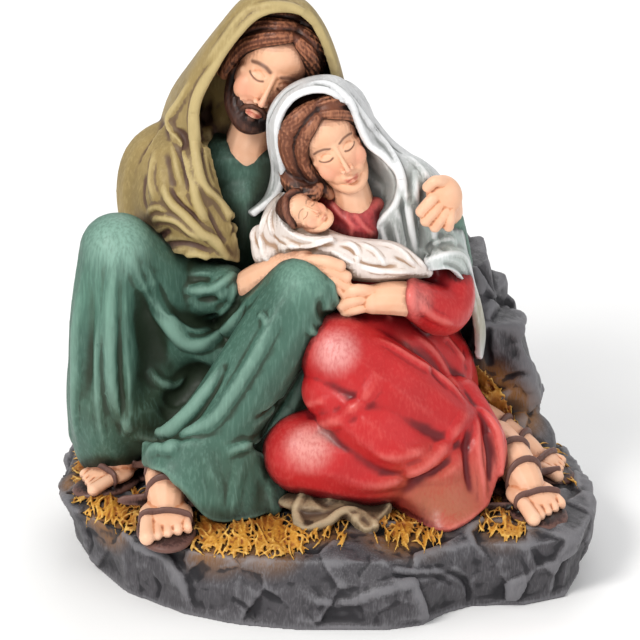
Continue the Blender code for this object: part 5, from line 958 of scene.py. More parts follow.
def father_beard():
    f = head_frame("father")
    side = [(0.28, -0.02, 0.42), (0.255, -0.09, 0.27), (0.185, -0.19, 0.14), (0.08, -0.28, 0.075)]
    sizes = [0.03, 0.045, 0.065, 0.075, 0.08, 0.075, 0.065, 0.045, 0.03]
    roll(mirrored(side, [(0, -0.3, 0.055)]), sizes, f)
    ball((0, -0.20, 0.08), (0.16, 0.15, 0.10), frame=f)
    for s in (-1, 1):
        for y, z, r in ((0.0, 0.0, 0.020), (0.016, -0.018, 0.018)):
            roll([(s * 0.01, -0.378 + y, 0.266 + z), (s * 0.05, -0.368 + y, 0.258 + z),
                  (s * 0.095, -0.33 + y, 0.21 + z), (s * 0.11, -0.3 + y, 0.14 + z)],
                 [r * 0.8, r, r, r * 0.8], frame=f)
    ball((0, -0.335, 0.130), (0.045, 0.032, 0.035), frame=f)
    rng = np.random.default_rng(4)
    blades = []
    for k in range(BEARD_STRANDS):
        turn = math.radians(-BEARD_SPREAD / 2 + BEARD_SPREAD * (k + 0.5) / BEARD_STRANDS)
        for row in range(2):
            x, y = BEARD_RADIUS * math.sin(turn), JAW_MIDDLE - BEARD_RADIUS * math.cos(turn)
            z = 0.20 + 0.16 * abs(math.sin(turn)) ** 2 - 0.06 * row + rng.normal(0, 0.012)
            if abs(x) < 0.075 and row == 0:
                continue
            out = 1.10 + 0.05 * row
            low = z - rng.uniform(0.10, 0.14)
            mid = (x * out * 0.98, (y - JAW_MIDDLE) * out + JAW_MIDDLE, (z + low) / 2)
            path = [(x, y, z), mid, (x * 0.92, (y - JAW_MIDDLE) * 0.96 + JAW_MIDDLE, low)]
            blades.append([(*at(p, f), r * scale_of(f)) for p, r in zip(path, (0.012, 0.017, 0.009))])
    strands(blades)
    return fuse("father_beard", 1)


def mother_hair():
    f = head_frame("mother")
    ball((0, 0.09, 0.68), (0.355, 0.40, 0.36), frame=f)
    lock([(0.02, -0.245, 0.935), (-0.13, -0.275, 0.87), (-0.255, -0.22, 0.74), (-0.32, -0.14, 0.56),
          (-0.325, -0.1, 0.38), (-0.3, -0.08, 0.2), (-0.26, -0.12, 0.04)],
         [0.04, 0.065, 0.07, 0.065, 0.065, 0.065, 0.05], f, 11, 0.018, 1.4)
    lock([(0.02, -0.17, 1.01), (-0.19, -0.19, 0.98), (-0.345, -0.12, 0.84), (-0.415, -0.05, 0.6),
          (-0.41, -0.01, 0.38), (-0.36, 0.0, 0.16)],
         [0.06, 0.09, 0.1, 0.095, 0.085, 0.06], f, 13, 0.019, 1.2)
    lock([(0.03, -0.245, 0.935), (0.15, -0.27, 0.88), (0.255, -0.2, 0.75), (0.31, -0.09, 0.58),
          (0.3, -0.02, 0.42)], [0.04, 0.06, 0.055, 0.045, 0.035], f, 9, 0.017, 1.2)
    lock([(0.03, -0.17, 0.99), (0.18, -0.19, 0.955), (0.31, -0.1, 0.81), (0.36, 0.0, 0.6),
          (0.35, 0.06, 0.42)], [0.06, 0.08, 0.075, 0.06, 0.045], f, 9, 0.018, 1.2)
    lock([(-12, 130.5, 2), (-10, 124, -1), (-7, 120, -4), (-3.5, 119, -6), (-1.5, 121, -6)],
         [3.6, 4.2, 3.8, 3.0, 1.8], None, 9, 0.6, 2.5)
    return fuse("mother_hair", 1)


def child_hair():
    f = head_frame("child")
    ball((0, 0.10, 0.70), (0.365, 0.42, 0.37), frame=f)
    lock([(0.02, -0.24, 0.97), (-0.16, -0.25, 0.88), (-0.28, -0.17, 0.74), (-0.34, -0.08, 0.58)],
         [0.04, 0.06, 0.06, 0.05], f, 9, 0.02, 1.0)
    lock([(0.02, -0.24, 0.97), (0.16, -0.25, 0.9), (0.28, -0.16, 0.76), (0.34, -0.06, 0.6)],
         [0.04, 0.055, 0.055, 0.045], f, 9, 0.02, 1.0)
    return fuse("child_hair", 1)


def necks():
    roll([(-19.5, 150.5, 24), (-24.5, 137, 22), (-25.5, 132, 22)], [8, 8, 9])
    roll([(6, 130, 4), (8.5, 122, 1), (10, 115, 2)], [6.2, 6.4, 7.5])
    roll([(2.5, 114.5, 6), (9.5, 113, 3), (16.5, 114.5, 6)], [5, 6.5, 5])
    return fuse("necks", 3)


# Feet in frames whose unit is about the foot's length
STRAP, STRAP_RIDGE, STRAP_RISE = 0.85, 0.8, 1.0
STRAP_STEPS = 12
FEET = {
    "father_right": dict(centre=(-60.5, 25, 4), size=37, heading=-52, nod=2, side=1, rise=0.33),
    "father_left": dict(centre=(-52.5, 15, -24), size=43, heading=2, nod=6, side=-1, rise=0.22),
    "mother_right": dict(centre=(62.5, 20.5, -12), size=42, heading=27, nod=6, side=-1, rise=0.33),
    "mother_left": dict(centre=(60.5, 29, 14), size=36, heading=60, nod=4, side=-1, rise=0.40),
}


def foot_frame(spec):
    return frame_at(spec["centre"], spec["size"], heading=spec["heading"], nod=spec["nod"])


def foot_skin(spec):
    """A bare foot from the shin to five toes, the big one on the given side."""
    f = foot_frame(spec)
    s, rise = spec["side"], spec["rise"]
    middle = (0, 0.12, (rise + 0.3) / 2)
    instep = [(0, 0.26, rise), middle, (0, -0.06, 0.27), (0, -0.26, 0.19), (0, -0.42, 0.13)]
    roll(instep, [0.15, 0.155, 0.155, 0.14, 0.09], f)
    ball((0, 0.12, 0.18), (0.14, 0.16, 0.14), frame=f)
    ball((0, -0.36, 0.135), (0.21, 0.22, 0.085), frame=f)
    for i in range(5):
        x = s * (0.150 - 0.078 * i)
        r = 0.060 if i == 0 else 0.043 - 0.002 * i
        tip = -0.670 + 0.030 * i
        roll([(x * 0.9, -0.4, 0.15), (x, -0.54, 0.135), (x * 1.02, tip, 0.105)], [r, r * 0.95, r], frame=f)


def foot_leather(spec):
    """A sole and three straps that lie on the foot, each in a plane of its own."""
    f = foot_frame(spec)
    ball((0, -0.42, 0.03), (0.235, 0.345, 0.075), frame=f)
    ball((0, 0.03, 0.035), (0.185, 0.28, 0.055), frame=f)
    skin = skin_of(bpy.data.objects["feet"])
    for y, lean, reach in ((0.04, 0.12, 0.62), (-0.20, 0.04, 0.46), (-0.46, -0.02, 0.34)):
        strap = []
        middle = Vector((0, y, 0.06))
        for k in range(STRAP_STEPS + 1):
            turn = math.pi * k / STRAP_STEPS
            out = Vector((math.cos(turn), -lean * math.sin(turn), math.sin(turn)))
            start = f @ (middle + out * reach)
            hit = skin.ray_cast(start, (f @ middle - start).normalized())[0]
            if hit is not None:
                strap.append(tuple(hit))
        roll(strap, STRAP * UNIT, frame=Matrix())
        raised = [tuple(Vector(p) + Vector((0, 0, STRAP_RISE * UNIT))) for p in strap]
        roll(raised, STRAP_RIDGE * UNIT, frame=Matrix())


def feet():
    for spec in FEET.values():
        foot_skin(spec)
    return fuse("feet", 2)


def sandals():
    for spec in FEET.values():
        foot_leather(spec)
    return fuse("sandals", 2)


def fingers(*rows):
    for path, radius in rows:
        roll(path, radius)


def hands():
    # the man's left hand on the woman's arm
    ball((40, 118.5, -6), (6, 4.5, 7), (0, -20, 0))
    roll([(41.5, 113, 4), (41, 117, -4)], 5)
    fingers(
        ([(40.5, 122.5, -7), (37, 123, -9.5), (34.5, 121, -8.5)], 1.9),
        ([(39, 120, -7), (35.5, 116.5, -9.5), (32.5, 113, -8.5)], 2.1),
        ([(40, 118, -7), (37, 113.5, -9.5), (34, 110, -8.5)], 2.1),
        ([(41.5, 116, -7), (39.5, 111.5, -9.5), (37, 108, -8.5)], 2.0),
        ([(42.5, 115, -7), (42, 111, -9.5), (41.5, 108, -8.5)], 1.8),
    )
    # the man's right forearm and hand under the child
    roll([(-27.5, 87, 0), (-20.5, 91, -6), (-11, 95.5, -12), (-6, 96.5, -15)], [5.5, 5.5, 5, 4.5])
    fingers(
        ([(-6, 97, -17), (0.5, 96.5, -20), (5.5, 95, -20)], 2.2),
        ([(-6, 95.5, -17), (1, 94, -20), (7.5, 91.5, -20)], 2.2),
        ([(-4.5, 94, -17), (2.5, 91.5, -20), (7.5, 88.5, -20)], 2.2),
        ([(-1.5, 91, -17), (3.5, 88.5, -20), (6.5, 86.5, -20)], 1.9),
    )
    # the woman's left forearm and hand
    roll([(31, 84, -14), (22.5, 84.5, -17), (16.5, 84, -18)], [6.2, 5.8, 5])
    fingers(
        ([(16.5, 86.5, -19), (11, 87, -21), (7.5, 86, -20)], 2.2),
        ([(15.5, 84.5, -19), (10.5, 84, -21), (6.5, 82, -20)], 2.3),
        ([(15.5, 82, -19), (11, 81, -21), (7.5, 80, -20)], 2.1),
    )
    return fuse("hands", 3)


def ground_cloth():
    cloth([
        [(-13.5, 26, -16), (-7.5, 27, -14), (0.5, 26, -16), (9, 24, -20), (16.5, 20, -26),
         (23, 15.5, -34)],
        [(-11.5, 22, -24), (-6, 20, -24), (1.5, 20, -26), (9.5, 18.5, -28), (16.5, 15, -32),
         (21.5, 13, -37)],
        [(-10.5, 15.5, -34), (-5, 14.5, -34), (2.5, 15, -34), (9, 14.5, -36), (15, 12, -38),
         (19, 10.5, -41)],
        [(-10, 9, -44), (-5.5, 7, -47), (1.5, 10, -44), (7.5, 12.5, -41), (13.5, 7, -46), (18, 8, -45)],
    ], thick=3.2)
    ball((-1, 17, -32), (14, 8, 3))
    piece = fuse("ground_cloth", 3)
    push(piece, [
        ([(-10.5, 26), (-7, 20), (-9, 14), (-5.5, 7)], 2.2, 1.1),
        ([(-5.5, 8), (1.5, 10), (7.5, 14.5), (16.5, 12.5)], 2.2, 1.2),
        ([(-3.5, 21), (1, 16.5), (5.5, 17)], 3.0, -1.4),
        ([(9, 10.5), (13, 12.5), (18.5, 9)], 2.2, 0.9),
        ([(3.5, 23), (9.5, 20), (14.5, 17)], 2.4, 0.8),
    ])
    return piece


# Paint
GRID = 1.25
GRID_PAD = 16
FULL_CELL = 1.5
FINE_ROUNDS, BROAD_ROUNDS = 3, 28
SEAM_PROBE, GLOOM_PROBE = 1.1, 5.0
SEAM_REACH, GLOOM_REACH = 1, 4
FEW_FACES = 27000


def eased(co, edges, rounds):
    """Places averaged with their neighbours' that many times."""
    a, b = edges.T
    count = np.bincount(np.concatenate([a, b]), minlength=len(co))[:, None]
    for _ in range(rounds):
        sums = [np.bincount(a, co[b, k], len(co)) + np.bincount(b, co[a, k], len(co)) for k in range(3)]
        co = np.stack(sums, 1) / np.maximum(count, 1)
    return co


def edges_of(piece):
    """The two points at the ends of each edge."""
    edges = np.empty(len(piece.data.edges) * 2, np.int32)
    piece.data.edges.foreach_get("vertices", edges)
    return edges.reshape(-1, 2)


def note(piece, name, values):
    """Keeps one number per point on the piece, for its material to read."""
    layer = piece.data.attributes.new(name, "FLOAT", "POINT")
    layer.data.foreach_set("value", np.asarray(values, np.float32))


def cells(co, low):
    """The cell of the grid that each place falls in."""
    return np.floor((co - low) / (GRID * UNIT)).astype(int)


def blurred(grid, reach):
    """A box blur of the grid along its three sides, twice."""
    for _ in range(2):
        for axis in range(3):
            total = np.cumsum(grid, axis=axis, dtype=np.float32)
            ahead = np.roll(total, -reach, axis=axis)
            behind = np.roll(total, reach + 1, axis=axis)
            grid = (ahead - behind) / (2 * reach + 1)
    return grid


def note_relief(pieces):
    """Where paint gathers and where a dry brush catches: small and broad hollows; and where dark paint and
    painted shade go together: seams against other pieces, and deep places that other surfaces crowd round.
    """
    data = {}
    for piece in pieces:
        co, no = arrays(piece)
        data[piece.name] = (co, no, edges_of(piece))
    low = np.min([d[0].min(0) for d in data.values()], axis=0) - GRID_PAD * UNIT
    high = np.max([d[0].max(0) for d in data.values()], axis=0) + GRID_PAD * UNIT
    shape = tuple(np.ceil((high - low) / (GRID * UNIT)).astype(int) + 1)
    owned = {}
    whole = np.zeros(shape, np.float32)
    for name, (co, _, edges) in data.items():
        span = np.linalg.norm(co[edges[:, 0]] - co[edges[:, 1]], axis=1).mean() / (GRID * UNIT)
        mine = np.zeros(shape, np.float32)
        np.add.at(mine, tuple(cells(co, low).T), span * span)
        owned[name] = mine
        whole += mine
    for mine in owned.values():
        np.minimum(mine, FULL_CELL, out=mine)
    whole = np.minimum(whole, FULL_CELL)
    depth = blurred(whole, GLOOM_REACH)
    near = blurred(whole, SEAM_REACH)
    for piece in pieces:
        co, no, edges = data[piece.name]
        small = ((eased(co, edges, FINE_ROUNDS) - co) * no).sum(1) / UNIT
        broad = ((eased(co, edges, BROAD_ROUNDS) - co) * no).sum(1) / UNIT
        # seam: how much of the other pieces lies just off the surface, for dark paint in the seams and
        # painted shade between the parts
        others = near - blurred(owned[piece.name], SEAM_REACH)
        seam = others[tuple(cells(co + no * SEAM_PROBE * UNIT, low).T)]
        # gloom: how crowded the space a little off the surface is, an ambient occlusion that the paint
        # turns into painted shade
        gloom = depth[tuple(cells(co + no * GLOOM_PROBE * UNIT, low).T)]
        for name, values in dict(small=small, broad=broad, seam=seam, gloom=gloom).items():
            note(piece, name, values)


class Paint:
    """A painted finish, put together from nodes that read the piece's own relief."""

    def __init__(self, name):
        self.material = bpy.data.materials.new(name)
        self.material.use_nodes = True
        self.nodes = self.material.node_tree.nodes
        self.links = self.material.node_tree.links
        self.shader = self.nodes["Principled BSDF"]
        self.place = self.nodes.new("ShaderNodeTexCoord").outputs["Object"]

    def join(self, source, target):
        """Feeds a socket from a number, a colour or another node."""
        if isinstance(source, (int, float)):
            target.default_value = source
        elif isinstance(source, tuple):
            target.default_value = (*source, 1.0)[:4]
        else:
            self.links.new(source, target)

    def mix(self, share, low, high):
        """A colour between low and high."""
        node = self.nodes.new("ShaderNodeMix")
        node.data_type = "RGBA"
        self.join(share, node.inputs["Factor"])
        self.join(low, node.inputs["A"])
        self.join(high, node.inputs["B"])
        return node.outputs["Result"]

    def span(self, value, start, end, low=0.0, high=1.0):
        """Runs smoothly from low to high as the value goes from start to end."""
        node = self.nodes.new("ShaderNodeMapRange")
        node.interpolation_type = "SMOOTHSTEP"
        self.join(value, node.inputs["Value"])
        for key, number in (("From Min", start), ("From Max", end), ("To Min", low), ("To Max", high)):
            node.inputs[key].default_value = number
        return node.outputs["Result"]

    def sum(self, first, second, how="ADD"):
        node = self.nodes.new("ShaderNodeMath")
        node.operation = how
        self.join(first, node.inputs[0])
        self.join(second, node.inputs[1])
        return node.outputs["Value"]

    def minus(self, value):
        return self.sum(value, -1.0, "MULTIPLY")

    def coat(self, value, start, end, most, tint):
        """Lays a tint over the colour so far, more of it as the value goes from start to end."""
        self.colour = self.mix(self.span(value, start, end, 0.0, most), self.colour, tint)

    def dab(self, centre, radius, share, tint):
        """Lays a tint over the colour so far round one place of the drawing."""
        share = self.sum(self.near(centre, radius), share, "MULTIPLY")
        self.colour = self.mix(share, self.colour, tint)

    def near(self, centre, radius):
        """One at a place given in drawing millimetres, fading to nothing at the radius."""
        node = self.nodes.new("ShaderNodeVectorMath")
        node.operation = "DISTANCE"
        self.join(self.place, node.inputs[0])
        node.inputs[1].default_value = at(centre)
        return self.span(node.outputs["Value"], radius * UNIT * 0.15, radius * UNIT, 1.0, 0.0)

    def layer(self, name):
        """A number that was noted on the piece's points."""
        node = self.nodes.new("ShaderNodeAttribute")
        node.attribute_name = name
        return node.outputs["Fac"]

    def cloud(self, size, detail, stretch=(1, 1, 1), turn=(0, 0, 0)):
        """Noise with spots of that size in millimetres, stretched along the given sides."""
        place = self.nodes.new("ShaderNodeMapping")
        place.inputs["Rotation"].default_value = [math.radians(a) for a in turn]
        place.inputs["Scale"].default_value = [1 / (size * 0.001 * s) for s in stretch]
        self.links.new(self.place, place.inputs["Vector"])
        node = self.nodes.new("ShaderNodeTexNoise")
        node.inputs["Scale"].default_value = 1.0
        node.inputs["Detail"].default_value = detail
        self.links.new(place.outputs["Vector"], node.inputs["Vector"])
        return node.outputs["Fac"]

    def bump(self, height, depth, strength, under=None):
        """Fine relief of that depth in millimetres, laid over another where one is given."""
        node = self.nodes.new("ShaderNodeBump")
        node.inputs["Strength"].default_value = strength
        node.inputs["Distance"].default_value = depth * 0.001
        self.join(height, node.inputs["Height"])
        if under is not None:
            self.links.new(under, node.inputs["Normal"])
        return node.outputs["Normal"]


def painted(
    name, base, shade, light, hollow=0.5, ridge=0.5, rough=0.5, streak=(1, 1, 4), turn=(0, 0, 0),
    strokes=0.25, seam=1.0, stroke_size=0.9, patch=0.35, deep=0.75, tints=(), top=(), bump=0.06,
    glaze=0.6, pits=0.7,
):
    """A coat of colour, dark paint left in the hollows, painted shade in deep places, dark paint and
    painted shade at seams with other pieces, a light brush over the ridges, and dabs laid last that give
    some pieces painted highlights.
    """
    p = Paint(name)
    small, broad = p.layer("small"), p.layer("broad")
    brush = p.cloud(stroke_size, 4.0, streak, turn)
    mottle = p.cloud(14, 3.0)
    fleck = p.cloud(2.2, 4.0)
    pale = tuple(c + (l - c) * 0.35 for c, l in zip(base, light))
    dark = tuple(c * 0.35 for c in shade)
    p.colour = base
    p.coat(mottle, 0.35, 0.7, patch, tuple(c * 0.62 for c in base))
    for centre, radius, tint, much in tints:
        patchy = p.span(p.sum(mottle, brush), 0.7, 1.15, 0.6 * much, much)
        p.dab(centre, radius, patchy, tint)
    p.coat(brush, 0.45, 0.72, strokes, pale)
    low = p.sum(broad, p.span(brush, 0.3, 0.7, -0.10 * strokes, 0.16 * strokes))
    p.coat(low, 0.02, hollow, 0.92, shade)
    pit = p.sum(small, p.span(fleck, 0.3, 0.7, -0.015, 0.02))
    p.coat(pit, 0.02, 0.12, pits, shade)
    # Painted shade: darker where other surfaces crowd round, as in ambient occlusion.
    p.coat(p.layer("gloom"), 0.11, 0.27, deep, shade)
    # Darker where another piece lies close: dark paint in the seam and painted shade between the parts.
    p.coat(p.layer("seam"), 0.04, 0.30, 0.85 * seam, dark)
    high = p.sum(p.minus(broad), p.span(brush, 0.3, 0.7, -0.14, 0.10))
    p.coat(high, 0.12, ridge * 1.3, glaze, light)
    p.coat(p.minus(small), 0.05, 0.22, glaze * 0.5, light)
    # Dabs laid over all the rest: on the dress and the tunic these are painted highlights on the knees and
    # on the lit side of the tunic, partly dry brush; on the veil they are colours of the cloth.
    for centre, radius, tint, much in top:
        catch = p.span(brush, 0.25, 0.6, 0.55 * much, much)
        p.dab(centre, radius, catch, tint)
    p.join(p.colour, p.shader.inputs["Base Color"])
    p.join(p.span(fleck, 0.3, 0.7, rough - 0.06, rough + 0.08), p.shader.inputs["Roughness"])
    p.shader.inputs["Specular IOR Level"].default_value = 0.3
    grain = p.bump(brush, bump, 0.8)
    p.join(p.bump(fleck, bump * 0.7, 0.6, grain), p.shader.inputs["Normal"])
    return p.material


def skin_paint(name, crevice_paint_and_shade):
    """Flesh with warm and dark paint and painted shade in the hollows, a painted highlight on the rounded
    parts, and pink, red and brown touches where the attributes say.
    """
    p = Paint(name)
    small, broad = p.layer("small"), p.layer("broad")
    mottle = p.cloud(6, 3.0)
    fleck = p.cloud(1.2, 3.0)
    flesh, pale = (0.80, 0.43, 0.26), (0.93, 0.62, 0.44)
    warm, deep = (0.62, 0.22, 0.09), (0.20, 0.05, 0.025)
    p.colour = flesh
    p.coat(mottle, 0.3, 0.7, 0.25, pale)
    # Warmer and darker in broad and small hollows, deep places and seams: dark paint and painted shade
    # together.
    p.coat(broad, 0.05, 0.7, 0.55, warm)
    p.coat(small, 0.03 / crevice_paint_and_shade, 0.12 / crevice_paint_and_shade, 0.5 * crevice_paint_and_shade, warm)
    p.coat(small, 0.09 / crevice_paint_and_shade, 0.24 / crevice_paint_and_shade, 0.5 * crevice_paint_and_shade, deep)
    p.coat(p.layer("gloom"), 0.14, 0.32, 0.3, warm)
    p.coat(p.layer("seam"), 0.12, 0.40, 0.7, deep)
    # Paler on the rounded parts: a painted highlight.
    p.coat(p.minus(broad), 0.05, 0.6, 0.35, pale)
    touches = dict(blush=(0.78, 0.25, 0.17), lips=(0.50, 0.08, 0.06), brows=(0.10, 0.035, 0.02))
    for layer, tint in touches.items():
        p.colour = p.mix(p.layer(layer), p.colour, tint)
    p.join(p.colour, p.shader.inputs["Base Color"])
    p.join(p.span(fleck, 0.3, 0.7, 0.42, 0.56), p.shader.inputs["Roughness"])
    p.join(p.bump(fleck, 0.03, 0.6), p.shader.inputs["Normal"])
    return p.material


def patches(piece, frame, name, spots):
    """Soft paint spots on a face: each is a place in the head's frame, radii, and strength."""
    co, _ = arrays(piece)
    local = np.array(frame.inverted())
    p = co @ local[:3, :3].T + local[:3, 3]
    value = np.zeros(len(co))
    for centre, radii, strength in spots:
        d = np.linalg.norm((p - np.array(centre)) / np.array(radii), axis=1)
        value = np.maximum(value, strength * np.clip(1.4 - d, 0, 1))
    note(piece, name, np.clip(value, 0, 1))


def strokes(piece, frame, name, lines, most):
    """Fine painted lines on a face: each is a path across and up in the head's frame and a half width."""
    skin = skin_of(piece)
    co, _ = arrays(piece)
    value = np.zeros(len(co))
    for path, width in lines:
        line = laid(skin, path, frame, 8)
        for a, b in zip(line, line[1:]):
            d = off_line(co, a, b)[1] / (width * scale_of(frame))
            value = np.maximum(value, np.clip(1.5 - d, 0, 1))
    note(piece, name, np.clip(value, 0, 1) * most)


def thin_out(piece):
    """Fewer faces where a piece has many, keeping its relief and its notes."""
    faces = 2 * len(piece.data.polygons)
    if faces > FEW_FACES:
        thin = piece.modifiers.new("thin", "DECIMATE")
        thin.ratio = (FEW_FACES / faces) ** 0.55
        bpy.context.view_layer.objects.active = piece
        bpy.ops.object.modifier_apply(modifier="thin")


FACE_PAINT = {
    "father": dict(lips=0.75, lines=0.85, brow=0.018),
    "mother": dict(lips=0.75, lines=0.85, brow=0.012),
    "child": dict(lips=0.5, lines=0.55, brow=0.012),
}


def paint_face(who, piece):
    """Blushed cheeks and nose, tinted lips, and fine lines for the closed lids and the brows."""
    f = head_frame(who)
    paint = FACE_PAINT[who]
    cheeks = [((s * 0.17, -0.26, 0.345), (0.13, 0.16, 0.10), 0.42) for s in (-1, 1)]
    patches(piece, f, "blush", cheeks + [((0, -0.44, 0.33), (0.06, 0.06, 0.05), 0.30)])
    lip = (0.050, 0.05, 0.017)
    lips = [((s * 0.036, -0.35, z), lip, paint["lips"]) for s in (-1, 1) for z in (0.206, 0.180)]
    patches(piece, f, "lips", lips)
    lid = [(0.068, 0.490), (0.10, 0.474), (0.135, 0.470), (0.17, 0.478), (0.196, 0.493)]
    brow = [(0.055, 0.590), (0.11, 0.612), (0.17, 0.603), (0.215, 0.575)]
    lines = []
    for s in (-1, 1):
        lines.append(([(s * x, z) for x, z in lid], 0.010))
        lines.append(([(s * x, z) for x, z in brow], paint["brow"]))
    strokes(piece, f, "brows", lines, paint["lines"])


RED = dict(base=(0.50, 0.018, 0.020), shade=(0.115, 0.004, 0.007), light=(0.82, 0.20, 0.17))
HAIR = dict(hollow=0.3, ridge=0.4, rough=0.45)
OCHRE = (0.42, 0.17, 0.020)
EARTH_SPOTS = [
    ((-78.5, 24, 0), 14), ((-70.5, 13, -28), 16), ((-57.5, 15.5, -28), 12), ((-35, 7, -50), 18),
    ((-17.5, 6.5, -52), 18), ((0.5, 9, -46), 12), ((26.5, 11, -44), 20), ((59, 13, -34), 18),
    ((55.5, 54, 24), 14), ((63, 44.5, 20), 16),
]
FINISHES = dict(
    mother_dress=dict(
        RED, deep=0.65, pits=0.35, hollow=0.65, ridge=1.0, rough=0.36, streak=(1, 1, 3), strokes=0.15,
        glaze=0.38,
        tints=[
            ((39.5, 12, -44), 30, (0.36, 0.115, 0.062), 1.0),
            ((55.5, 29, -22), 18, (0.62, 0.20, 0.15), 0.55),
            ((9.5, 109, -8), 15, (0.46, 0.085, 0.095), 0.8),
            ((30.5, 84, -20), 9, (0.80, 0.36, 0.32), 0.5),
            ((32.5, 32, -24), 14, (0.22, 0.010, 0.012), 0.6),
        ],
        # Light dabs over all: painted highlights on the tops of the knees and on the thigh, partly dry
        # brush.
        top=[
            ((4.5, 66.5, -30), 10, (0.92, 0.56, 0.52), 0.62),
            ((-4.5, 35, -36), 11, (0.88, 0.48, 0.42), 0.58),
            ((22.5, 67, -12), 10, (0.80, 0.20, 0.16), 0.4),
        ],
    ),
    father_tunic=dict(
        base=(0.058, 0.132, 0.098), shade=(0.020, 0.031, 0.017), light=(0.25, 0.42, 0.34), hollow=0.7,
        ridge=1.2, streak=(1, 1, 8), strokes=0.45, patch=0.5, deep=0.9, glaze=0.4,
        # Dark olive dabs: painted shade in the shadowed hollow between the legs, and darker low on the
        # right shin and at the left hem.
        tints=[
            ((-57, 49, -10), 26, (0.040, 0.058, 0.030), 0.75),
            ((-74.5, 50.5, -10), 16, (0.045, 0.080, 0.048), 0.5),
            ((-32.5, 27, -30), 20, (0.050, 0.090, 0.055), 0.5),
        ],
        # Pale dabs over all: painted highlights on the knee tops and on the lit left side of the right leg,
        # partly dry brush.
        top=[
            ((-68.5, 104, -14), 18, (0.30, 0.50, 0.41), 0.6),
            ((-6.5, 92, -24), 14, (0.22, 0.41, 0.32), 0.45),
            ((-74.5, 84, -14), 18, (0.14, 0.31, 0.23), 0.35),
        ],
    ),
    father_mantle=dict(
        base=(0.30, 0.215, 0.080), shade=(0.095, 0.050, 0.036), light=(0.58, 0.46, 0.22), hollow=0.75,
        ridge=1.0, rough=0.52, streak=(1, 1, 3), strokes=0.4, patch=0.55, glaze=0.5,
    ),
    mother_veil=dict(
        base=(0.60, 0.605, 0.61), shade=(0.20, 0.21, 0.20), light=(0.90, 0.91, 0.92), hollow=0.6,
        ridge=0.9, strokes=0.7, patch=0.3, glaze=0.65, deep=0.65,
        tints=[
            ((31.5, 114, -4), 24, (0.33, 0.40, 0.36), 0.85),
            ((41, 100.5, -2), 18, (0.34, 0.44, 0.40), 0.85),
            ((-20.5, 115.5, 4), 12, (0.30, 0.36, 0.32), 0.7),
        ],
        top=[((52, 78, 8), 20, (0.36, 0.34, 0.24), 0.85), ((44.5, 98.5, -4), 9, (0.52, 0.56, 0.52), 0.5)],
    ),
    child_wrap=dict(
        base=(0.78, 0.69, 0.64), shade=(0.38, 0.235, 0.15), light=(0.95, 0.93, 0.91),
        ridge=0.8, patch=0.25, deep=0.5,
        tints=[
            ((-7.5, 98.5, -12), 9, (0.62, 0.50, 0.36), 0.7), ((23, 95, -14), 8, (0.66, 0.52, 0.40), 0.5),
        ],
    ),
    rock=dict(
        base=(0.060, 0.056, 0.062), shade=(0.013, 0.012, 0.015), light=(0.24, 0.235, 0.25), hollow=0.7,
        ridge=0.7, streak=(1, 1, 5), turn=(0, 24, 0), strokes=0.5, patch=0.6, stroke_size=0.55,
        bump=0.12, glaze=0.42, seam=0.35,
        tints=[(place, radius, OCHRE, 0.9) for place, radius in EARTH_SPOTS],
    ),
    straw=dict(
        base=(0.60, 0.27, 0.030), shade=(0.24, 0.065, 0.008), light=(0.90, 0.60, 0.16), hollow=0.3,
        ridge=0.6, strokes=0.6, patch=1.0, seam=0.35,
    ),
    ground_cloth=dict(
        base=(0.27, 0.185, 0.105), shade=(0.075, 0.042, 0.026), light=(0.52, 0.40, 0.25),
        ridge=0.8, glaze=0.5,
    ),
    father_hair=dict(
        HAIR, base=(0.145, 0.046, 0.024), shade=(0.024, 0.009, 0.006), light=(0.46, 0.18, 0.09),
        ridge=0.35, glaze=0.75,
    ),
    father_beard=dict(
        HAIR, base=(0.050, 0.018, 0.012), shade=(0.012, 0.005, 0.004), light=(0.15, 0.06, 0.036),
    ),
    mother_hair=dict(
        HAIR, base=(0.155, 0.050, 0.025), shade=(0.026, 0.009, 0.006), light=(0.46, 0.19, 0.10),
        ridge=0.35, glaze=0.7,
    ),
    child_hair=dict(
        HAIR, base=(0.120, 0.040, 0.024), shade=(0.030, 0.010, 0.007), light=(0.30, 0.12, 0.07), rough=0.5,
    ),
    sandals=dict(
        HAIR, base=(0.050, 0.020, 0.017), shade=(0.014, 0.006, 0.006), light=(0.20, 0.10, 0.08), rough=0.4,
    ),
)


def dress_up():
    pieces = [form() for form in FORMS]
    heads = {who: head(who) for who in FACES}
    everything = pieces + list(heads.values())
    note_relief(everything)
    for who, piece in heads.items():
        paint_face(who, piece)
    for piece in pieces:
        thin_out(piece)
    face_skin = skin_paint("painted_face", 1.0)
    # Hands, feet and necks get stronger dark paint and painted shade in their crevices, for the shaded gaps
    # between fingers and toes.
    skin = skin_paint("painted_skin", 1.6)
    for piece in everything:
        recipe = FINISHES.get(piece.name)
        piece.data.materials.clear()
        bare = face_skin if piece in heads.values() else skin
        piece.data.materials.append(painted("painted_" + piece.name, **recipe) if recipe else bare)
        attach(piece, "root")
        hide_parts(SOLID)


FORMS = (
    rock_base, ground_cloth, straw, father_tunic, father_mantle, mother_veil, mother_dress, child_wrap,
    father_hair, father_beard, mother_hair, child_hair, necks, feet, sandals, hands,
)
dress_up()

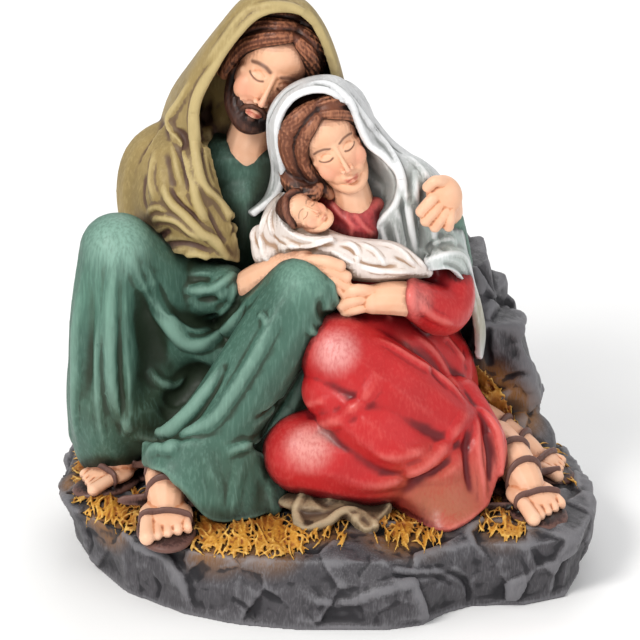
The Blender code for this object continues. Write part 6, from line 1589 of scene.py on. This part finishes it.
# Floor, light and camera: the photo's sides and the drawing's zero in pixels, the rest in metres
PHOTO_SIDE = 640
PIXELS_PER_MILLIMETRE = 3
ZERO_COLUMN, ZERO_ROW = 323, 551.5
FAR = 2.5
FLOOR_SIDE = 8
SENSOR_MILLIMETRES = 36
AIM = Vector((-0.001, 0.0, 0.0833))
LAMPS = dict(
    key=dict(place=(-0.75, -1.0, 1.15), size=0.5, power=16.5, tint=(1.0, 0.98, 0.95)),
    fill=dict(place=(1.1, -1.1, 0.7), size=1.2, power=4.0, tint=(1, 1, 1)),
    back=dict(place=(0.2, 1.1, 1.0), size=0.8, power=5.0, tint=(1, 1, 1)),
)
SKY_STRENGTH = 0.68


def look(thing, target):
    thing.rotation_mode = "QUATERNION"
    thing.rotation_quaternion = (target - thing.location).to_track_quat("-Z", "Y")


def lamp(name, place, size, power, tint):
    light = bpy.data.lights.new(name, "AREA")
    light.size = size
    light.energy = power
    light.color = tint
    stand = bpy.data.objects.new(name, light)
    bpy.context.collection.objects.link(stand)
    stand.location = place
    look(stand, AIM)


def studio():
    bpy.ops.object.select_all(action="DESELECT")
    bpy.ops.mesh.primitive_plane_add(size=FLOOR_SIDE)
    floor = bpy.context.object
    floor.name = "floor"
    paper = Paint("pale_paper")
    tone = paper.cloud(90, 2.0)
    paper.join(
        paper.mix(paper.span(tone, 0.3, 0.7), (0.93, 0.93, 0.93), (0.96, 0.96, 0.96)),
        paper.shader.inputs["Base Color"],
    )
    paper.shader.inputs["Roughness"].default_value = 0.9
    floor.data.materials.append(paper.material)
    for name, settings in LAMPS.items():
        lamp(name, **settings)
    world = bpy.data.worlds.new("studio")
    bpy.context.scene.world = world
    world.use_nodes = True
    sky = world.node_tree.nodes["Background"].inputs
    sky["Color"].default_value = (1, 1, 1, 1)
    sky["Strength"].default_value = SKY_STRENGTH
    bpy.context.scene.view_settings.view_transform = "Standard"


def camera():
    data = bpy.data.cameras.new("camera")
    stand = bpy.data.objects.new("camera", data)
    bpy.context.collection.objects.link(stand)
    half = PHOTO_SIDE / 2
    across = (half - ZERO_COLUMN) / PIXELS_PER_MILLIMETRE
    up = (ZERO_ROW - half) / PIXELS_PER_MILLIMETRE
    target = at((across, up, 0))
    stand.location = target - SIGHT * FAR
    look(stand, target)
    data.sensor_width = SENSOR_MILLIMETRES
    data.lens = SENSOR_MILLIMETRES / 2 / (half / PIXELS_PER_MILLIMETRE * UNIT / FAR)
    data.clip_end = 20
    bpy.context.scene.camera = stand


studio()
camera()
